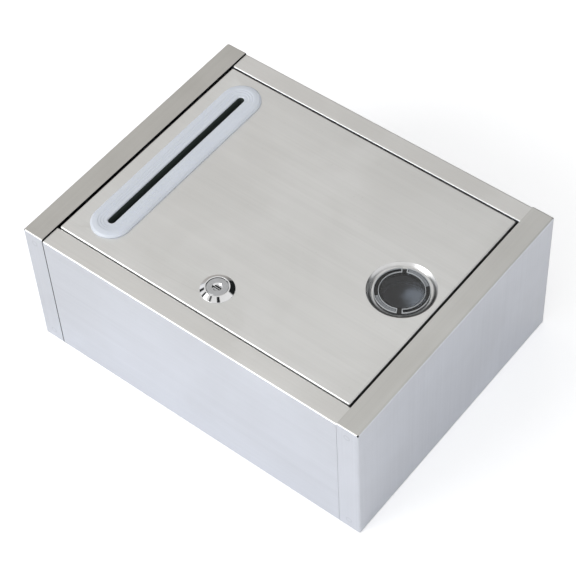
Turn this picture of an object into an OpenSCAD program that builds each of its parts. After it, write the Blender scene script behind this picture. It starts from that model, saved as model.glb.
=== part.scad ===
// Bus fare box: a shallow folded stainless-steel case with a hinged, locking lid.
// The lid carries a note and coin slot, a cam lock and a round sight window.
// Frame: X along the long side, Y from front to rear, Z up through the lid.
// Origin: centre of the case's underside.

/* [Case] */
// Outside length of the case, along X
body_l = 250; // [242:1:270]
// Outside width of the case, along Y
body_w = 194; // [188:1:210]
// Height of the end caps' top flanges above the underside
body_h = 102; // [96:1:120]
// Thickness of the case and lid sheet
sheet_t = 1; // [0.8:0.1:1.2]
// Inside radius of every fold in that sheet
bend_r = 0.8; // [0.5:0.1:1]
// Width of the end caps' flanges
cap_flange = 15; // [13:1:16]
// Width of the front and rear rims
rim_w = 14; // [12:1:16]
// Depth of the ledge that the lid's front rests on
ledge_w = 8; // [6:1:9]

/* [Lid] */
// Height of the lid's top face above the end caps' flanges
lid_proud = 0; // [0:0.1:1]
// Gap between the lid and the end caps
side_gap = 1.6; // [1:0.1:1.8]
// Gap between the lid and the front rim
front_gap = 0.5; // [0.4:0.1:1.2]
// Gap between the lid and the rear rim
rear_gap = 1.7; // [1.6:0.1:3]
// Depth of the lid's skirts below its top face
skirt_d = 13; // [12:0.5:13]

/* [Hinge] */
// Distance from the lid's rear edge forward to the hinge axis
pivot_in = 10; // [9:0.5:12]
// Distance from the lid's top face down to the hinge axis
pivot_down = 5; // [4.5:0.1:5.4]
// Radius of each hinge pin's shank
pin_r = 2; // [1.8:0.1:2.2]

/* [Slot] */
// X position of the slot's centre line
slot_x = -85.5; // [-88:0.5:-84]
// Clear width of the slot
slot_w = 4.8; // [4.4:0.1:6]
// Half the distance between the centres of the slot's round ends
slot_half = 61; // [50:0.5:61]
// Width of the moulded bezel's flange
bezel_w = 26.4; // [25:0.2:28]
// Height of the bezel's crown above the lid
bezel_crown = 2.2; // [2:0.1:3]

/* [Lock] */
// X position of the lock
lock_x = -2; // [-6:0.5:6]
// Y position of the lock
lock_y = -63.2; // [-64:0.1:-62]
// Diameter of the lock's conical head at the lid
lock_head_d = 21; // [20:0.5:22]
// Diameter of the lock's flat face
lock_face_d = 15.2; // [14.8:0.1:15.8]
// Height of the lock's head above the lid
lock_head_h = 2.4; // [2:0.1:3]
// Diameter of the lock's threaded barrel
barrel_d = 16; // [15:0.5:17]
// Distance from the lock's axis to the cam's tip
cam_reach = 26; // [24:0.5:28]

/* [Window] */
// X position of the sight window
window_x = 84; // [80:0.5:85]
// Diameter of the polished dish pressed round the window
dish_d = 42.4; // [41:0.2:42.8]
// Depth of the dish's floor below the lid's top face
dish_drop = 2.8; // [2.4:0.1:3.4]
// Diameter of the window lens
lens_d = 33.4; // [32:0.1:34]
// Diameter of the lens's clear disc
lens_clear_d = 26; // [25:0.5:27]

/* [Mounting] */
// Distance between the mounting holes along X
mount_x = 180; // [160:5:200]
// Distance between the mounting holes along Y
mount_y = 120; // [100:5:140]
// Diameter of the mounting holes
mount_d = 6; // [5:0.5:7]

/* [Hidden] */
$fn = 64;

touch = 0.01;              // overlap that fuses neighbouring solids of one piece
run_clear = 0.05;          // radial clearance of a turning fit
bend_out = bend_r + sheet_t;

// case
rim_top = body_h - sheet_t;
open_x = body_l / 2 - cap_flange;      // half the lid opening, along X
open_y = body_w / 2 - rim_w;           // half the lid opening, along Y
seam_gap = 0.4;                        // dark line between a wall and an end cap's flange
shell_end = open_x - seam_gap;         // where the shell's outer walls stop
joggle_end = body_l / 2 - sheet_t - 2; // where the set-back strips under the caps stop

// lid
lid_top = body_h + lid_proud;
lid_under = lid_top - sheet_t;
skirt_end = lid_top - skirt_d;
ledge_top = skirt_end - 0.2;
lid_x = open_x - side_gap;
lid_front = front_gap - open_y;
lid_rear = open_y - rear_gap;

// hinge
pivot_y = lid_rear - pivot_in;
pivot_z = lid_top - pivot_down;
bracket_t = 1.5;
bracket_h = 20;
bracket_x = open_x + 1;                // inner face of each hinge bracket
bush_out = pin_r + run_clear + 1;
bush_lip = 0.8;
groove_x = bracket_x + bracket_t + bush_lip + 0.5;
groove_r = pin_r - 0.5;

// slot
slot_r = slot_w / 2;
flange_r = bezel_w / 2;
liner_r = slot_r + 0.4;                // inside of the throat's liner
neck_in = liner_r + 1.3;
neck_r = neck_in + 1.7;
seal_t = 0.8;
frame_top = lid_under - seal_t;        // the throat's frame clamps up to here
frame_t = 2;
frame_r = 10;
throat_end = lid_top - 19;
boss_y = slot_half + 9.9;
boss_r = 2.6;
screw_r = 1.45;

// window
hole_r = 13.6;
neck_out = 13.3;
gasket_t = 0.4;
dish_floor = lid_top - dish_drop;
dish_under = dish_floor - sheet_t;
lens_seat = dish_floor + gasket_t;
notch_angle = 120;                     // direction of the lens's two spanner notches

// lock
washer_t = 0.8;
nut_t = 3;
barrel_end = ledge_top - sheet_t - 0.8;
plug_r = 5.5;
plug_head_r = 6.65;
plug_head_h = 1.6;
plug_sink = 0.2;                       // the plug's face lies this far below the housing's
face_z = lid_top + lock_head_h;
key_l = 5.4;
key_w = 1.5;
dimple_r = 3.1;                        // dished recess round the keyway
dimple_drop = 0.5;
tail_a = 7;                            // side of the plug's square tail
cam_t = 2;
cam_w = 13;
cam_top = barrel_end - 0.1;
wafer_t = 0.8;

// ---- folded sheet ----
// A sheet's outline follows one face; the metal lies to the left of the path.

function unit(v) = v / norm(v);
function left_of(d) = [-d[1], d[0]];
function heading(path, i) = unit(path[i + 1] - path[i]);
function reversed(list) = [for (i = [len(list) - 1:-1:0]) list[i]];

// points of the arc of radius r that rounds corner p between headings d0 and d1
function fold_arc(p, d0, d1, r, steps = 5) =
    let (turn = acos(d0 * d1),
         side = sign(cross(d0, d1)),
         start = p - r * tan(turn / 2) * d0,
         centre = start + side * r * left_of(d0),
         a0 = atan2(start[1] - centre[1], start[0] - centre[0]))
    [for (i = [0:steps]) let (a = a0 + side * turn * i / steps) centre + r * [cos(a), sin(a)]];

// one face of the sheet, shifted to the left of the path by shift
function sheet_face(path, shift, t, r) =
    let (n = len(path) - 1)
    concat(
        [path[0] + shift * left_of(heading(path, 0))],
        [for (i = [1:n - 1])
            let (d0 = heading(path, i - 1), d1 = heading(path, i),
                 corner = path[i] + shift * (left_of(d0) + left_of(d1)) / (1 + d0 * d1),
                 inside = (cross(d0, d1) > 0) == (shift > 0))
            each fold_arc(corner, d0, d1, inside ? r : r + t)],
        [path[n] + shift * left_of(heading(path, n - 1))]);

module folded_sheet(path, t = sheet_t, r = bend_r) {
    polygon(concat(sheet_face(path, 0, t, r), reversed(sheet_face(path, t, t, r))));
}

// ---- helpers ----

// extrudes a YZ outline along X, from x0 to x1
module along_x(x0, x1) {
    translate([x0, 0, 0]) rotate([90, 0, 90]) linear_extrude(x1 - x0) children();
}

// extrudes an XZ outline along Y, from y0 to y1
module along_y(y0, y1) {
    translate([0, y1, 0]) rotate([90, 0, 0]) linear_extrude(y1 - y0) children();
}

module box(low, high) {
    translate(low) cube(high - low);
}

module disc(r, z0, z1) {
    translate([0, 0, z0]) cylinder(h = z1 - z0, r = r);
}

module tube(r_out, r_in, z0, z1) {
    difference() {
        disc(r_out, z0, z1);
        disc(r_in, z0 - 1, z1 + 1);
    }
}

module left_side() { mirror([1, 0, 0]) children(); }

// ---- case ----

// the shell's section; set_back pulls its outer faces in, to pass under the caps' flanges
function shell_path(set_back) =
    let (y = body_w / 2 - set_back, rim = rim_top)
    [[ledge_w - open_y, ledge_top], [-open_y, ledge_top], [-open_y, rim], [-y, rim],
     [-y, set_back], [y, set_back], [y, rim], [open_y, rim], [open_y, rim - 9]];

// the walls and floor alone, which join the two set-backs
function wall_path(set_back) =
    let (y = body_w / 2 - set_back, top = rim_top - bend_out)
    [[-y, top], [-y, set_back], [y, set_back], [y, top]];

module shell() {
    color("gainsboro") difference() {
        union() {
            along_x(-shell_end, shell_end) folded_sheet(shell_path(0));
            for (side = [0, 1]) mirror([side, 0, 0]) {
                along_x(shell_end, joggle_end) folded_sheet(shell_path(sheet_t));
                along_x(shell_end - 1, shell_end + touch) folded_sheet(wall_path(sheet_t));
            }
        }
        for (x = [-1, 1], y = [-1, 1]) translate([x * mount_x / 2, y * mount_y / 2, 0])
            disc(mount_d / 2, -1, sheet_t + 1);
    }
}

// right-hand cap: the end wall with a flange folded in from each of its four edges
module end_cap() {
    x_out = body_l / 2;
    y_out = body_w / 2;
    fold_x = x_out - bend_out;
    fold_y = y_out - bend_out;
    along_y(-fold_y, fold_y)
        folded_sheet([[open_x, 0], [x_out, 0], [x_out, body_h], [open_x, body_h]]);
    for (z = [0, body_h - sheet_t])
        box([open_x, -y_out, z], [fold_x, y_out, z + sheet_t]);
    translate([0, 0, bend_out]) linear_extrude(body_h - 2 * bend_out)
        folded_sheet([[open_x, -y_out], [x_out, -y_out], [x_out, y_out], [open_x, y_out]]);
}

module left_end_cap() { color("gainsboro") left_side() end_cap(); }
module right_end_cap() { color("gainsboro") end_cap(); }

// ---- hinge ----

// places a piece made on the Z axis on the right-hand hinge axis, its z measured as x
module on_pivot() {
    translate([0, pivot_y, pivot_z]) rotate([0, 90, 0]) children();
}

module hinge_bracket() {
    difference() {
        translate([0, 0, rim_top - bracket_h]) linear_extrude(bracket_h)
            folded_sheet([[body_l / 2 - sheet_t, open_y - sheet_t], [bracket_x, open_y - sheet_t],
                          [bracket_x, pivot_y - 9]], bracket_t, 1);
        on_pivot() disc(bush_out, bracket_x - 1, bracket_x + bracket_t + 1);
    }
}

module hinge_bush() {
    lip_x = bracket_x + bracket_t;
    lip_r = bush_out + 1.5;
    on_pivot() difference() {
        union() {
            disc(bush_out, bracket_x, lip_x + touch);
            disc(lip_r, lip_x, lip_x + bush_lip);
        }
        disc(pin_r + run_clear, bracket_x - 1, lip_x + 2);
        // the lip's top is flat, clear of the cap's flange
        box([-lip_r - 1, -lip_r, lip_x], [pivot_z - rim_top + 0.25, lip_r, lip_x + 2]);
    }
}

module hinge_pin() {
    inner = lid_x - sheet_t;
    head_h = 1.6;
    on_pivot() difference() {
        union() {
            disc(pin_r + 1.2, inner - head_h, inner);
            disc(pin_r, inner - touch, groove_x + 2.1);
        }
        tube(pin_r + 1, groove_r, groove_x, groove_x + 0.7);
    }
}

module pin_spacer() {
    on_pivot() tube(pin_r + 1, pin_r, lid_x, bracket_x - 0.1);
}

module pin_clip() {
    on_pivot() difference() {
        tube(pin_r + 1.1, groove_r, groove_x + 0.05, groove_x + 0.65);
        box([-1, -6, groove_x - 1], [1, 0, groove_x + 2]);
    }
}

module left_hinge_bracket() { color("silver") left_side() hinge_bracket(); }
module right_hinge_bracket() { color("silver") hinge_bracket(); }
module left_hinge_bush() { color("ivory") left_side() hinge_bush(); }
module right_hinge_bush() { color("ivory") hinge_bush(); }
module left_hinge_pin() { color("silver") left_side() hinge_pin(); }
module right_hinge_pin() { color("silver") hinge_pin(); }
module left_pin_spacer() { color("dimgray") left_side() pin_spacer(); }
module right_pin_spacer() { color("dimgray") pin_spacer(); }
module left_pin_clip() { color("dimgray") left_side() pin_clip(); }
module right_pin_clip() { color("dimgray") pin_clip(); }

// ---- lid ----

// slot-shaped prism with round ends, its long side along Y
module slot_prism(r, z0, z1, half = slot_half) {
    translate([slot_x, 0, z0]) linear_extrude(z1 - z0) union() {
        translate([-r, -half]) square([2 * r, 2 * half]);
        for (side = [-1, 1]) translate([0, side * half]) circle(r);
    }
}

module at_bosses() {
    for (side = [-1, 1]) translate([slot_x, side * boss_y, 0]) children();
}

module at_window() { translate([window_x, 0, 0]) children(); }
module at_lock() { translate([lock_x, lock_y, 0]) children(); }

module lid_panel() {
    skirts_x = [[lid_x, skirt_end], [lid_x, lid_top], [-lid_x, lid_top], [-lid_x, skirt_end]];
    skirts_y = [[lid_rear, skirt_end], [lid_rear, lid_top], [lid_front, lid_top],
                [lid_front, skirt_end]];
    dish_r = dish_d / 2;
    color("lightgray") difference() {
        union() {
            difference() {
                union() {
                    along_x(bend_out - lid_x, lid_x - bend_out) folded_sheet(skirts_y);
                    along_y(lid_front + bend_out, lid_rear - bend_out) folded_sheet(skirts_x);
                }
                at_window() disc(dish_r, lid_under - 1, lid_top + 1);
            }
            at_window() rotate_extrude()
                polygon([[hole_r, dish_under], [dish_r - 1.6, dish_under], [dish_r + 0.6, lid_under],
                         [dish_r + 0.6, lid_under + touch], [dish_r, lid_top],
                         [dish_r - 2.4, dish_floor], [hole_r, dish_floor]]);
        }
        slot_prism(neck_r + 0.2, lid_under - 1, lid_top + 1);
        at_bosses() disc(boss_r + 0.2, lid_under - 1, lid_top + 1);
        at_lock() disc(barrel_d / 2, lid_under - 1, lid_top + 1);
        for (side = [0, 1]) mirror([side, 0, 0]) on_pivot() disc(pin_r, lid_x - 3, lid_x + 1);
    }
}

// ---- slot ----

// sweeps a section, given as radius and height, round the slot
module round_slot() {
    translate([slot_x, 0, 0]) for (side = [0, 1]) mirror([0, side, 0]) {
        translate([0, slot_half, 0]) rotate_extrude(angle = 180) children();
        mirror([side, 0, 0]) along_y(-slot_half - touch, slot_half + touch) children();
    }
}

module slot_bezel() {
    pilot_end = lid_top + bezel_crown - 0.8;
    color("aliceblue") difference() {
        union() {
            round_slot() polygon([
                [neck_in, frame_top], [neck_r, frame_top], [neck_r, lid_top], [flange_r, lid_top],
                [flange_r, lid_top + 0.8], [flange_r - 0.5, lid_top + 1.4],
                [flange_r - 1.6, lid_top + bezel_crown - 0.3],
                [flange_r - 3.4, lid_top + bezel_crown],
                [slot_r + 2.4, lid_top + bezel_crown], [slot_r + 0.8, lid_top + bezel_crown - 0.2],
                [slot_r, lid_top + bezel_crown - 0.8], [slot_r, lid_top + 0.8],
                [neck_in, lid_top + 0.8]]);
            at_bosses() disc(boss_r, frame_top, lid_top + touch);
        }
        at_bosses() disc(screw_r, frame_top - 1, pilot_end);
    }
}

module slot_throat() {
    color("darkslategray") difference() {
        union() {
            slot_prism(liner_r + 1.2, throat_end, lid_top + 0.7);
            slot_prism(frame_r, frame_top - frame_t, frame_top, slot_half + 3);
        }
        slot_prism(liner_r, throat_end - 1, lid_top + 2);
        at_bosses() disc(screw_r + 0.15, frame_top - frame_t - 1, frame_top + 1);
    }
}

module slot_seal() {
    color("black") difference() {
        slot_prism(frame_r, frame_top, lid_under, slot_half + 3);
        slot_prism(neck_r, frame_top - 1, lid_under + 1);
        at_bosses() disc(boss_r, frame_top - 1, lid_under + 1);
    }
}

// A strap hangs across the throat's mouth, so nothing can be drawn back up through the slot.
module slot_baffle() {
    top = frame_top - frame_t;
    leg = slot_half + 6;
    tab = boss_y + 3.1;
    shelf = throat_end - 8;
    color("silver") difference() {
        along_x(slot_x - 8, slot_x + 8)
            folded_sheet([[-tab, top - 1.2], [-leg, top - 1.2], [-leg, shelf], [leg, shelf],
                          [leg, top - 1.2], [tab, top - 1.2]], 1.2, 0.8);
        at_bosses() disc(screw_r + 0.15, top - 3, top + 1);
    }
}

module slot_screws() {
    head_top = frame_top - frame_t - 1.2;
    color("silver") at_bosses() difference() {
        union() {
            disc(2.8, head_top - 1.8, head_top);
            disc(screw_r, head_top - touch, lid_top + bezel_crown - 1);
        }
        for (a = [0, 90]) rotate(a) box([-1.6, -0.35, head_top - 2.5], [1.6, 0.35, head_top - 0.9]);
    }
}

// ---- window ----

module window_lens() {
    rim = lens_seat + 1.6;
    clear_r = lens_clear_d / 2;
    lens_r = lens_d / 2;
    color("slategray") at_window() difference() {
        rotate_extrude() polygon([
            [0, lens_seat - 0.6], [11.8, lens_seat - 0.6], [11.8, dish_under - 7],
            [neck_out, dish_under - 7], [neck_out, lens_seat], [lens_r, lens_seat],
            [lens_r, rim - 0.2], [lens_r - 0.2, rim], [lens_r - 0.9, rim],
            [lens_r - 1.1, rim - 0.8], [clear_r + 1, rim - 0.8], [clear_r + 0.8, rim],
            [clear_r + 0.2, rim], [clear_r, rim - 0.7], [0, rim - 0.7]]);
        rotate(notch_angle) box([-lens_d, -1.4, rim - 0.8], [lens_d, 1.4, rim + 1]);
    }
}

module window_gasket() {
    color("black") at_window() tube(lens_d / 2 - 0.3, neck_out, dish_floor, lens_seat);
}

module window_slip_washer() {
    color("ivory") at_window() tube(17.8, neck_out, dish_under - 0.6, dish_under);
}

module window_ring_nut() {
    top = dish_under - 0.6;
    color("dimgray") at_window() difference() {
        tube(17.5, neck_out, top - 4, top);
        for (a = [0:60:300]) rotate(a) box([16, -1.5, top - 5], [19, 1.5, top + 1]);
    }
}

// ---- lock ----

module lock_housing() {
    color("silver") at_lock() difference() {
        union() {
            translate([0, 0, lid_top])
                cylinder(h = lock_head_h, d1 = lock_head_d, d2 = lock_face_d);
            disc(barrel_d / 2, barrel_end, lid_top + touch);
        }
        disc(plug_r + run_clear, barrel_end - 1, face_z);
        disc(plug_head_r + run_clear, face_z - plug_sink - plug_head_h - run_clear, face_z + 1);
    }
}

module lock_washer() {
    color("gray") at_lock() tube(11.5, barrel_d / 2, lid_under - washer_t, lid_under);
}

module lock_nut() {
    top = lid_under - washer_t;
    color("goldenrod") at_lock() difference() {
        translate([0, 0, top - nut_t]) cylinder(h = nut_t, d = 24, $fn = 6);
        disc(barrel_d / 2, top - nut_t - 1, top + 1);
    }
}

function wafer_z(i) = barrel_end + 2.5 + 2.2 * i;

module lock_plug() {
    head_z = face_z - plug_sink;
    color("lightsteelblue") at_lock() difference() {
        union() {
            disc(plug_head_r, head_z - plug_head_h, head_z);
            disc(plug_r, cam_top, head_z - 1);
            box([-tail_a / 2, -tail_a / 2, cam_top - cam_t], [tail_a / 2, tail_a / 2, cam_top + touch]);
        }
        translate([0, 0, head_z - dimple_drop])
            cylinder(h = dimple_drop + touch, r1 = dimple_r - 0.9, r2 = dimple_r);
        box([-key_l / 2, -key_w / 2, barrel_end + 1.5], [key_l / 2, key_w / 2, face_z + 1]);
        for (i = [0:4])
            box([-plug_r - 1, -2.6, wafer_z(i)], [plug_r + 1, 2.6, wafer_z(i) + wafer_t + 0.1]);
        disc(screw_r, cam_top - cam_t - 1, cam_top - cam_t + 3);
    }
}

module lock_wafers() {
    color("goldenrod") at_lock() for (i = [0:4]) difference() {
        box([-4.6, -2.6, wafer_z(i)], [4.6, 2.6, wafer_z(i) + wafer_t]);
        box([-3, -1.2, wafer_z(i) - 1], [3, 1.2, wafer_z(i) + 2]);
    }
}

module lock_cam() {
    color("silver") at_lock() difference() {
        union() {
            disc(cam_w / 2, cam_top - cam_t, cam_top);
            box([3 - cam_reach, -cam_w / 2, cam_top - cam_t], [0, cam_w / 2, cam_top]);
            box([-cam_reach, 3 - cam_w / 2, cam_top - cam_t], [0, cam_w / 2 - 3, cam_top]);
            for (side = [-1, 1]) translate([3 - cam_reach, side * (cam_w / 2 - 3), 0])
                disc(3, cam_top - cam_t, cam_top);
        }
        box([-tail_a / 2, -tail_a / 2, cam_top - cam_t - 1], [tail_a / 2, tail_a / 2, cam_top + 1]);
    }
}

module cam_washer() {
    color("gray") at_lock() tube(5.6, screw_r + 0.1, cam_top - cam_t - washer_t, cam_top - cam_t);
}

module cam_screw() {
    seat = cam_top - cam_t - washer_t;
    color("silver") at_lock() difference() {
        union() {
            disc(3.4, seat - 2.2, seat);
            disc(screw_r, seat - touch, cam_top - cam_t + 2.8);
        }
        for (a = [0, 90]) rotate(a) box([-2, -0.4, seat - 3], [2, 0.4, seat - 1.1]);
    }
}

shell();
left_end_cap();
right_end_cap();
left_hinge_bracket();
right_hinge_bracket();
left_hinge_bush();
right_hinge_bush();
lid_panel();
left_hinge_pin();
right_hinge_pin();
left_pin_spacer();
right_pin_spacer();
left_pin_clip();
right_pin_clip();
slot_bezel();
slot_throat();
slot_seal();
slot_screws();
slot_baffle();
window_lens();
window_gasket();
window_slip_washer();
window_ring_nut();
lock_housing();
lock_washer();
lock_nut();
lock_plug();
lock_wafers();
lock_cam();
cam_washer();
cam_screw();
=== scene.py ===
import math

import bmesh
import bpy
from mathutils import Matrix, Vector


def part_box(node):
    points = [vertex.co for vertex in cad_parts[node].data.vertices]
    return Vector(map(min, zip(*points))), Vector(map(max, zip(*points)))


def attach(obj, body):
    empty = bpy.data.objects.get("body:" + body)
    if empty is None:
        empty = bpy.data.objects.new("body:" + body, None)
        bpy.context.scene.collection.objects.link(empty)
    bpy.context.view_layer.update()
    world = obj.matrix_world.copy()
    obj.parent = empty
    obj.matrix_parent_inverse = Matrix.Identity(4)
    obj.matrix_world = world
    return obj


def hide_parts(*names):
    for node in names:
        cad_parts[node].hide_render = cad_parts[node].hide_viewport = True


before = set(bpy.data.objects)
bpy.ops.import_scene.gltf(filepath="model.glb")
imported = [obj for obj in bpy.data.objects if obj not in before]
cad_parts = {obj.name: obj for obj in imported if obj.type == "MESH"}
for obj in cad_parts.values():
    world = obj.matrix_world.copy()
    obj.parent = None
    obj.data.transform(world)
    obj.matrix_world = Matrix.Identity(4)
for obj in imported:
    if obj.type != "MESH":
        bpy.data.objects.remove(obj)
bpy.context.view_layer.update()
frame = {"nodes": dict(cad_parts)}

bl_info = {
    "name": "Bus Fare Box",
    "version": (1, 0, 0),
    "blender": (4, 5, 0),
    "location": "View3D > Sidebar > Fare Box",
    "description": "Builds a stainless steel fare box with a locking lid, round its packed frame",
    "category": "Object",
}

MM = 0.001
ROUND_STEPS = 96          # steps in a full turn of a turned piece
FOLD_STEPS = 6            # segments across a fold
SHARP_ANGLE = math.radians(32)
DOUBLE = 1e-6              # points nearer than this are one point

# colours that darken a finish, and the tone of dust
HANDLED = (0.88, 0.875, 0.86)
BRUSHED = (0.86, 0.86, 0.86)
TURNED = (0.72, 0.72, 0.74)
DUST = (0.55, 0.55, 0.54)

# grain runs along the axis with the small number
ALONG_X = (0.012, 1.0, 1.0)
ALONG_Y = (1.0, 0.012, 1.0)
ALONG_Z = (1.0, 1.0, 0.012)

SHELL_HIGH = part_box("shell")[1]
CAP_LOW, CAP_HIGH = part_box("right_end_cap")
LID_LOW, LID_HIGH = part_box("lid_panel")
BEZEL_LOW, BEZEL_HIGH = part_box("slot_bezel")
THROAT_LOW, THROAT_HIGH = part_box("slot_throat")
SEAL_LOW, SEAL_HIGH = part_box("slot_seal")
LENS_LOW, LENS_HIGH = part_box("window_lens")
GASKET_LOW, GASKET_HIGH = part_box("window_gasket")
HOUSING_LOW, HOUSING_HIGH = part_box("lock_housing")
PLUG_LOW, PLUG_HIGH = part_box("lock_plug")
CAM_LOW, CAM_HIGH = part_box("lock_cam")

LID_TOP = LID_HIGH.z
SLOT_AT = (BEZEL_LOW + BEZEL_HIGH) / 2
LENS_AT = (LENS_LOW + LENS_HIGH) / 2
LOCK_AT = (HOUSING_LOW + HOUSING_HIGH) / 2


# ---- settings ----

def length(name, description, millimetres):
    return bpy.props.FloatProperty(name=name, description=description, default=millimetres * MM,
                                   subtype="DISTANCE", unit="LENGTH", precision=5)


def angle(name, description, degrees):
    return bpy.props.FloatProperty(name=name, description=description,
                                   default=math.radians(degrees), subtype="ANGLE")


def share(name, description, value):
    return bpy.props.FloatProperty(name=name, description=description, default=value,
                                   min=0.0, max=1.0, subtype="FACTOR")


def colour(name, description, rgb):
    return bpy.props.FloatVectorProperty(name=name, description=description, default=rgb,
                                         size=3, min=0.0, max=1.0, subtype="COLOR")


class FareBoxSteel(bpy.types.PropertyGroup):
    # painted light and shade: the lid, rim, flange and wall colours are one steel given separate
    # tones for one view; the end caps' tops are darker as painted shade, and the walls' blue tint is
    # a painted reflection of the floor
    lid: colour("Lid Steel", "Colour of the brushed steel on the lid", (0.81, 0.81, 0.80))
    rim: colour("Rim Steel", "Colour of the brushed steel on the rims", (0.81, 0.805, 0.79))
    flange: colour("Flange Steel", "Colour of the brushed steel on the right end cap's top",
                   (0.685, 0.68, 0.66))
    # painted shade: the left end cap's top is a darker copy of the right one's steel
    shaded_left_flange: colour("Left Flange Steel", "Colour of the steel on the left end cap's top",
                        (0.62, 0.61, 0.585))
    wall: colour("Wall Steel", "Colour of the brushed steel on the walls", (0.755, 0.775, 0.825))
    # painted shade: a near-black steel for the seams' gaps, which are only in shade
    seam: colour("Seam Steel", "Colour of the shaded steel in the seams", (0.03, 0.03, 0.033))
    inside: colour("Inside Steel", "Colour of the plain strip steel inside", (0.55, 0.55, 0.54))
    roughness: share("Roughness", "Roughness of the brushed steel", 0.34)
    grain: share("Grain", "Strength of the brushed grain", 0.30)
    clouds: share("Clouds", "Strength of the soft patches in the steel's tone", 0.35)


class FareBoxCase(bpy.types.PropertyGroup):
    sheet: length("Sheet", "Thickness of the folded sheet", 1.0)
    fold: length("Fold Radius", "Outside radius of the case's folds", 1.2)
    cut_edge: length("Cut Edge", "Width of the worn edge along each cut", 0.12)
    lap_gap: length("Lap Gap", "Gap between the shell's set-back edges and the end caps", 0.03)
    front_rim: length("Front Rim", "Width of the front rim", 14.2)
    rear_rim: length("Rear Rim", "Width of the rear rim", 14.0)
    rim_fold: length("Rim Fold Radius", "Outside radius of the rims' folds at the opening", 1.1)
    ledge: length("Ledge", "Depth of the ledge under the lid's front", 8.0)
    ledge_gap: length("Ledge Gap", "Gap between the ledge and the lid's skirt", 0.2)
    rear_lip: length("Rear Lip", "Height of the rear rim's lip", 9.0)
    left_seam: length("Left Seam", "Dark gap between a wall and the left end cap", 0.65)
    right_seam: length("Right Seam", "Fine gap between a wall and the right end cap", 0.12)
    lap: length("Lap", "Length of the set-back edge that stays behind the wall", 1.0)
    corner_hole: length("Corner Hole", "Size of the hole where three folds of a cap meet", 1.2)
    mount_x: length("Mount Spacing X", "Distance between the mounting holes along the case", 180.0)
    mount_y: length("Mount Spacing Y", "Distance between the mounting holes across the case", 120.0)
    mount_hole: length("Mount Hole", "Radius of the mounting holes", 3.0)


class FareBoxLid(bpy.types.PropertyGroup):
    fold: length("Fold Radius", "Outside radius of the lid's folds", 1.05)
    slot_hole: length("Slot Hole", "Half width of the lid's hole under the slot bezel", 6.0)
    lock_hole: length("Lock Hole", "Radius of the lid's hole for the lock", 8.0)
    dish: length("Dish", "Radius of the polished dish round the window", 20.75)
    dish_fold: length("Dish Fold", "Radius of the fold at the dish's edge", 0.9)
    dish_sweep: length("Dish Sweep", "Radius where the dish's wall meets its floor", 2.2)
    dish_floor: length("Dish Floor", "Radius of the dish's flat floor", 18.4)
    window_hole: length("Window Hole", "Radius of the hole in the dish's floor", 13.6)


class FareBoxSlot(bpy.types.PropertyGroup):
    half: length("Half Length", "Half the distance between the centres of the slot's ends", 61.0)
    slot: length("Slot", "Half width of the slot", 2.4)
    liner: length("Liner", "Inside half width of the throat's liner", 2.8)
    wall: length("Liner Wall", "Thickness of the liner", 1.2)
    frame: length("Frame", "Half width of the throat's clamping frame", 10.0)
    frame_sheet: length("Frame Thickness", "Thickness of the clamping frame", 2.0)
    boss_in: length("Boss Inset", "Distance from the seal's end in to each screw", 3.1)
    boss: length("Boss", "Radius of the bezel's screw bosses", 2.6)
    screw: length("Screw", "Radius of the slot's screws", 1.45)
    step: length("Step", "Height of the fine steps round the bezel's ends", 0.18)
    white: colour("Bezel Plastic", "Colour of the moulded bezel", (0.66, 0.70, 0.77))
    dark: colour("Throat Plastic", "Colour of the moulded throat", (0.085, 0.105, 0.10))


class FareBoxWindow(bpy.types.PropertyGroup):
    clear: length("Clear Disc", "Radius of the lens's clear disc", 13.4)
    neck: length("Neck", "Outside radius of the lens's neck", 13.3)
    neck_wall: length("Neck Wall", "Thickness of the neck", 1.5)
    rim_height: length("Rim Height", "Height of the two rims above the channel", 1.0)
    pad_sweep: angle("Pad Sweep", "Sweep of each frosted grip pad", 62.0)
    notch: length("Notch", "Width of the two spanner notches", 2.8)
    notch_turn: angle("Notch Direction", "Direction of the notches round the lens", 120.0)
    cheek: length("Cheek", "Thickness of the walls on each side of a notch", 0.55)
    pad_gap: angle("Pad Gap", "Angle from each notch's middle to the pad beside it", 9.0)
    rib_sweep: angle("Rib Sweep", "Sweep of each grip rib", 2.6)
    tint: colour("Tint", "Smoky tint of the clear plastic", (0.34, 0.36, 0.40))
    # painted highlight: the clear lens's raised rims are a pale opaque plastic that stands in for the
    # light they catch
    rim_highlight_tone: colour("Edge Tone", "Colour of the lens's raised rims", (0.46, 0.48, 0.50))
    pad_tone: colour("Pad Tone", "Colour of the frosted grip pads", (0.285, 0.30, 0.32))
    rib_count: bpy.props.IntProperty(name="Ribs", description="Grip ribs on each frosted pad",
                                     default=8, min=3, max=15)


class FareBoxLock(bpy.types.PropertyGroup):
    head: length("Head", "Radius of the lock's cone where it meets the lid", 10.5)
    face: length("Face", "Radius of the lock's flat face", 7.6)
    bore: length("Bore", "Radius of the plug's head", 6.65)
    plug_edge: length("Plug Edge", "Width of the bevel round the plug's face", 0.25)
    barrel: length("Barrel", "Radius of the threaded barrel", 8.0)
    thread: length("Thread Pitch", "Pitch of the barrel's thread", 1.0)
    key_length: length("Keyway Length", "Length of the keyway", 5.4)
    key_width: length("Keyway Width", "Width of the keyway", 2.0)
    ward: length("Ward", "Width of the bar along the middle of the keyway", 0.55)
    tail: length("Tail", "Width of the square tail that carries the cam", 7.0)
    well_floor: length("Keyway Floor", "Height of the keyway's floor above the plug's end", 5.0)
    dimple: length("Dimple", "Radius of the dished recess round the keyway", 3.1)


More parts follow.
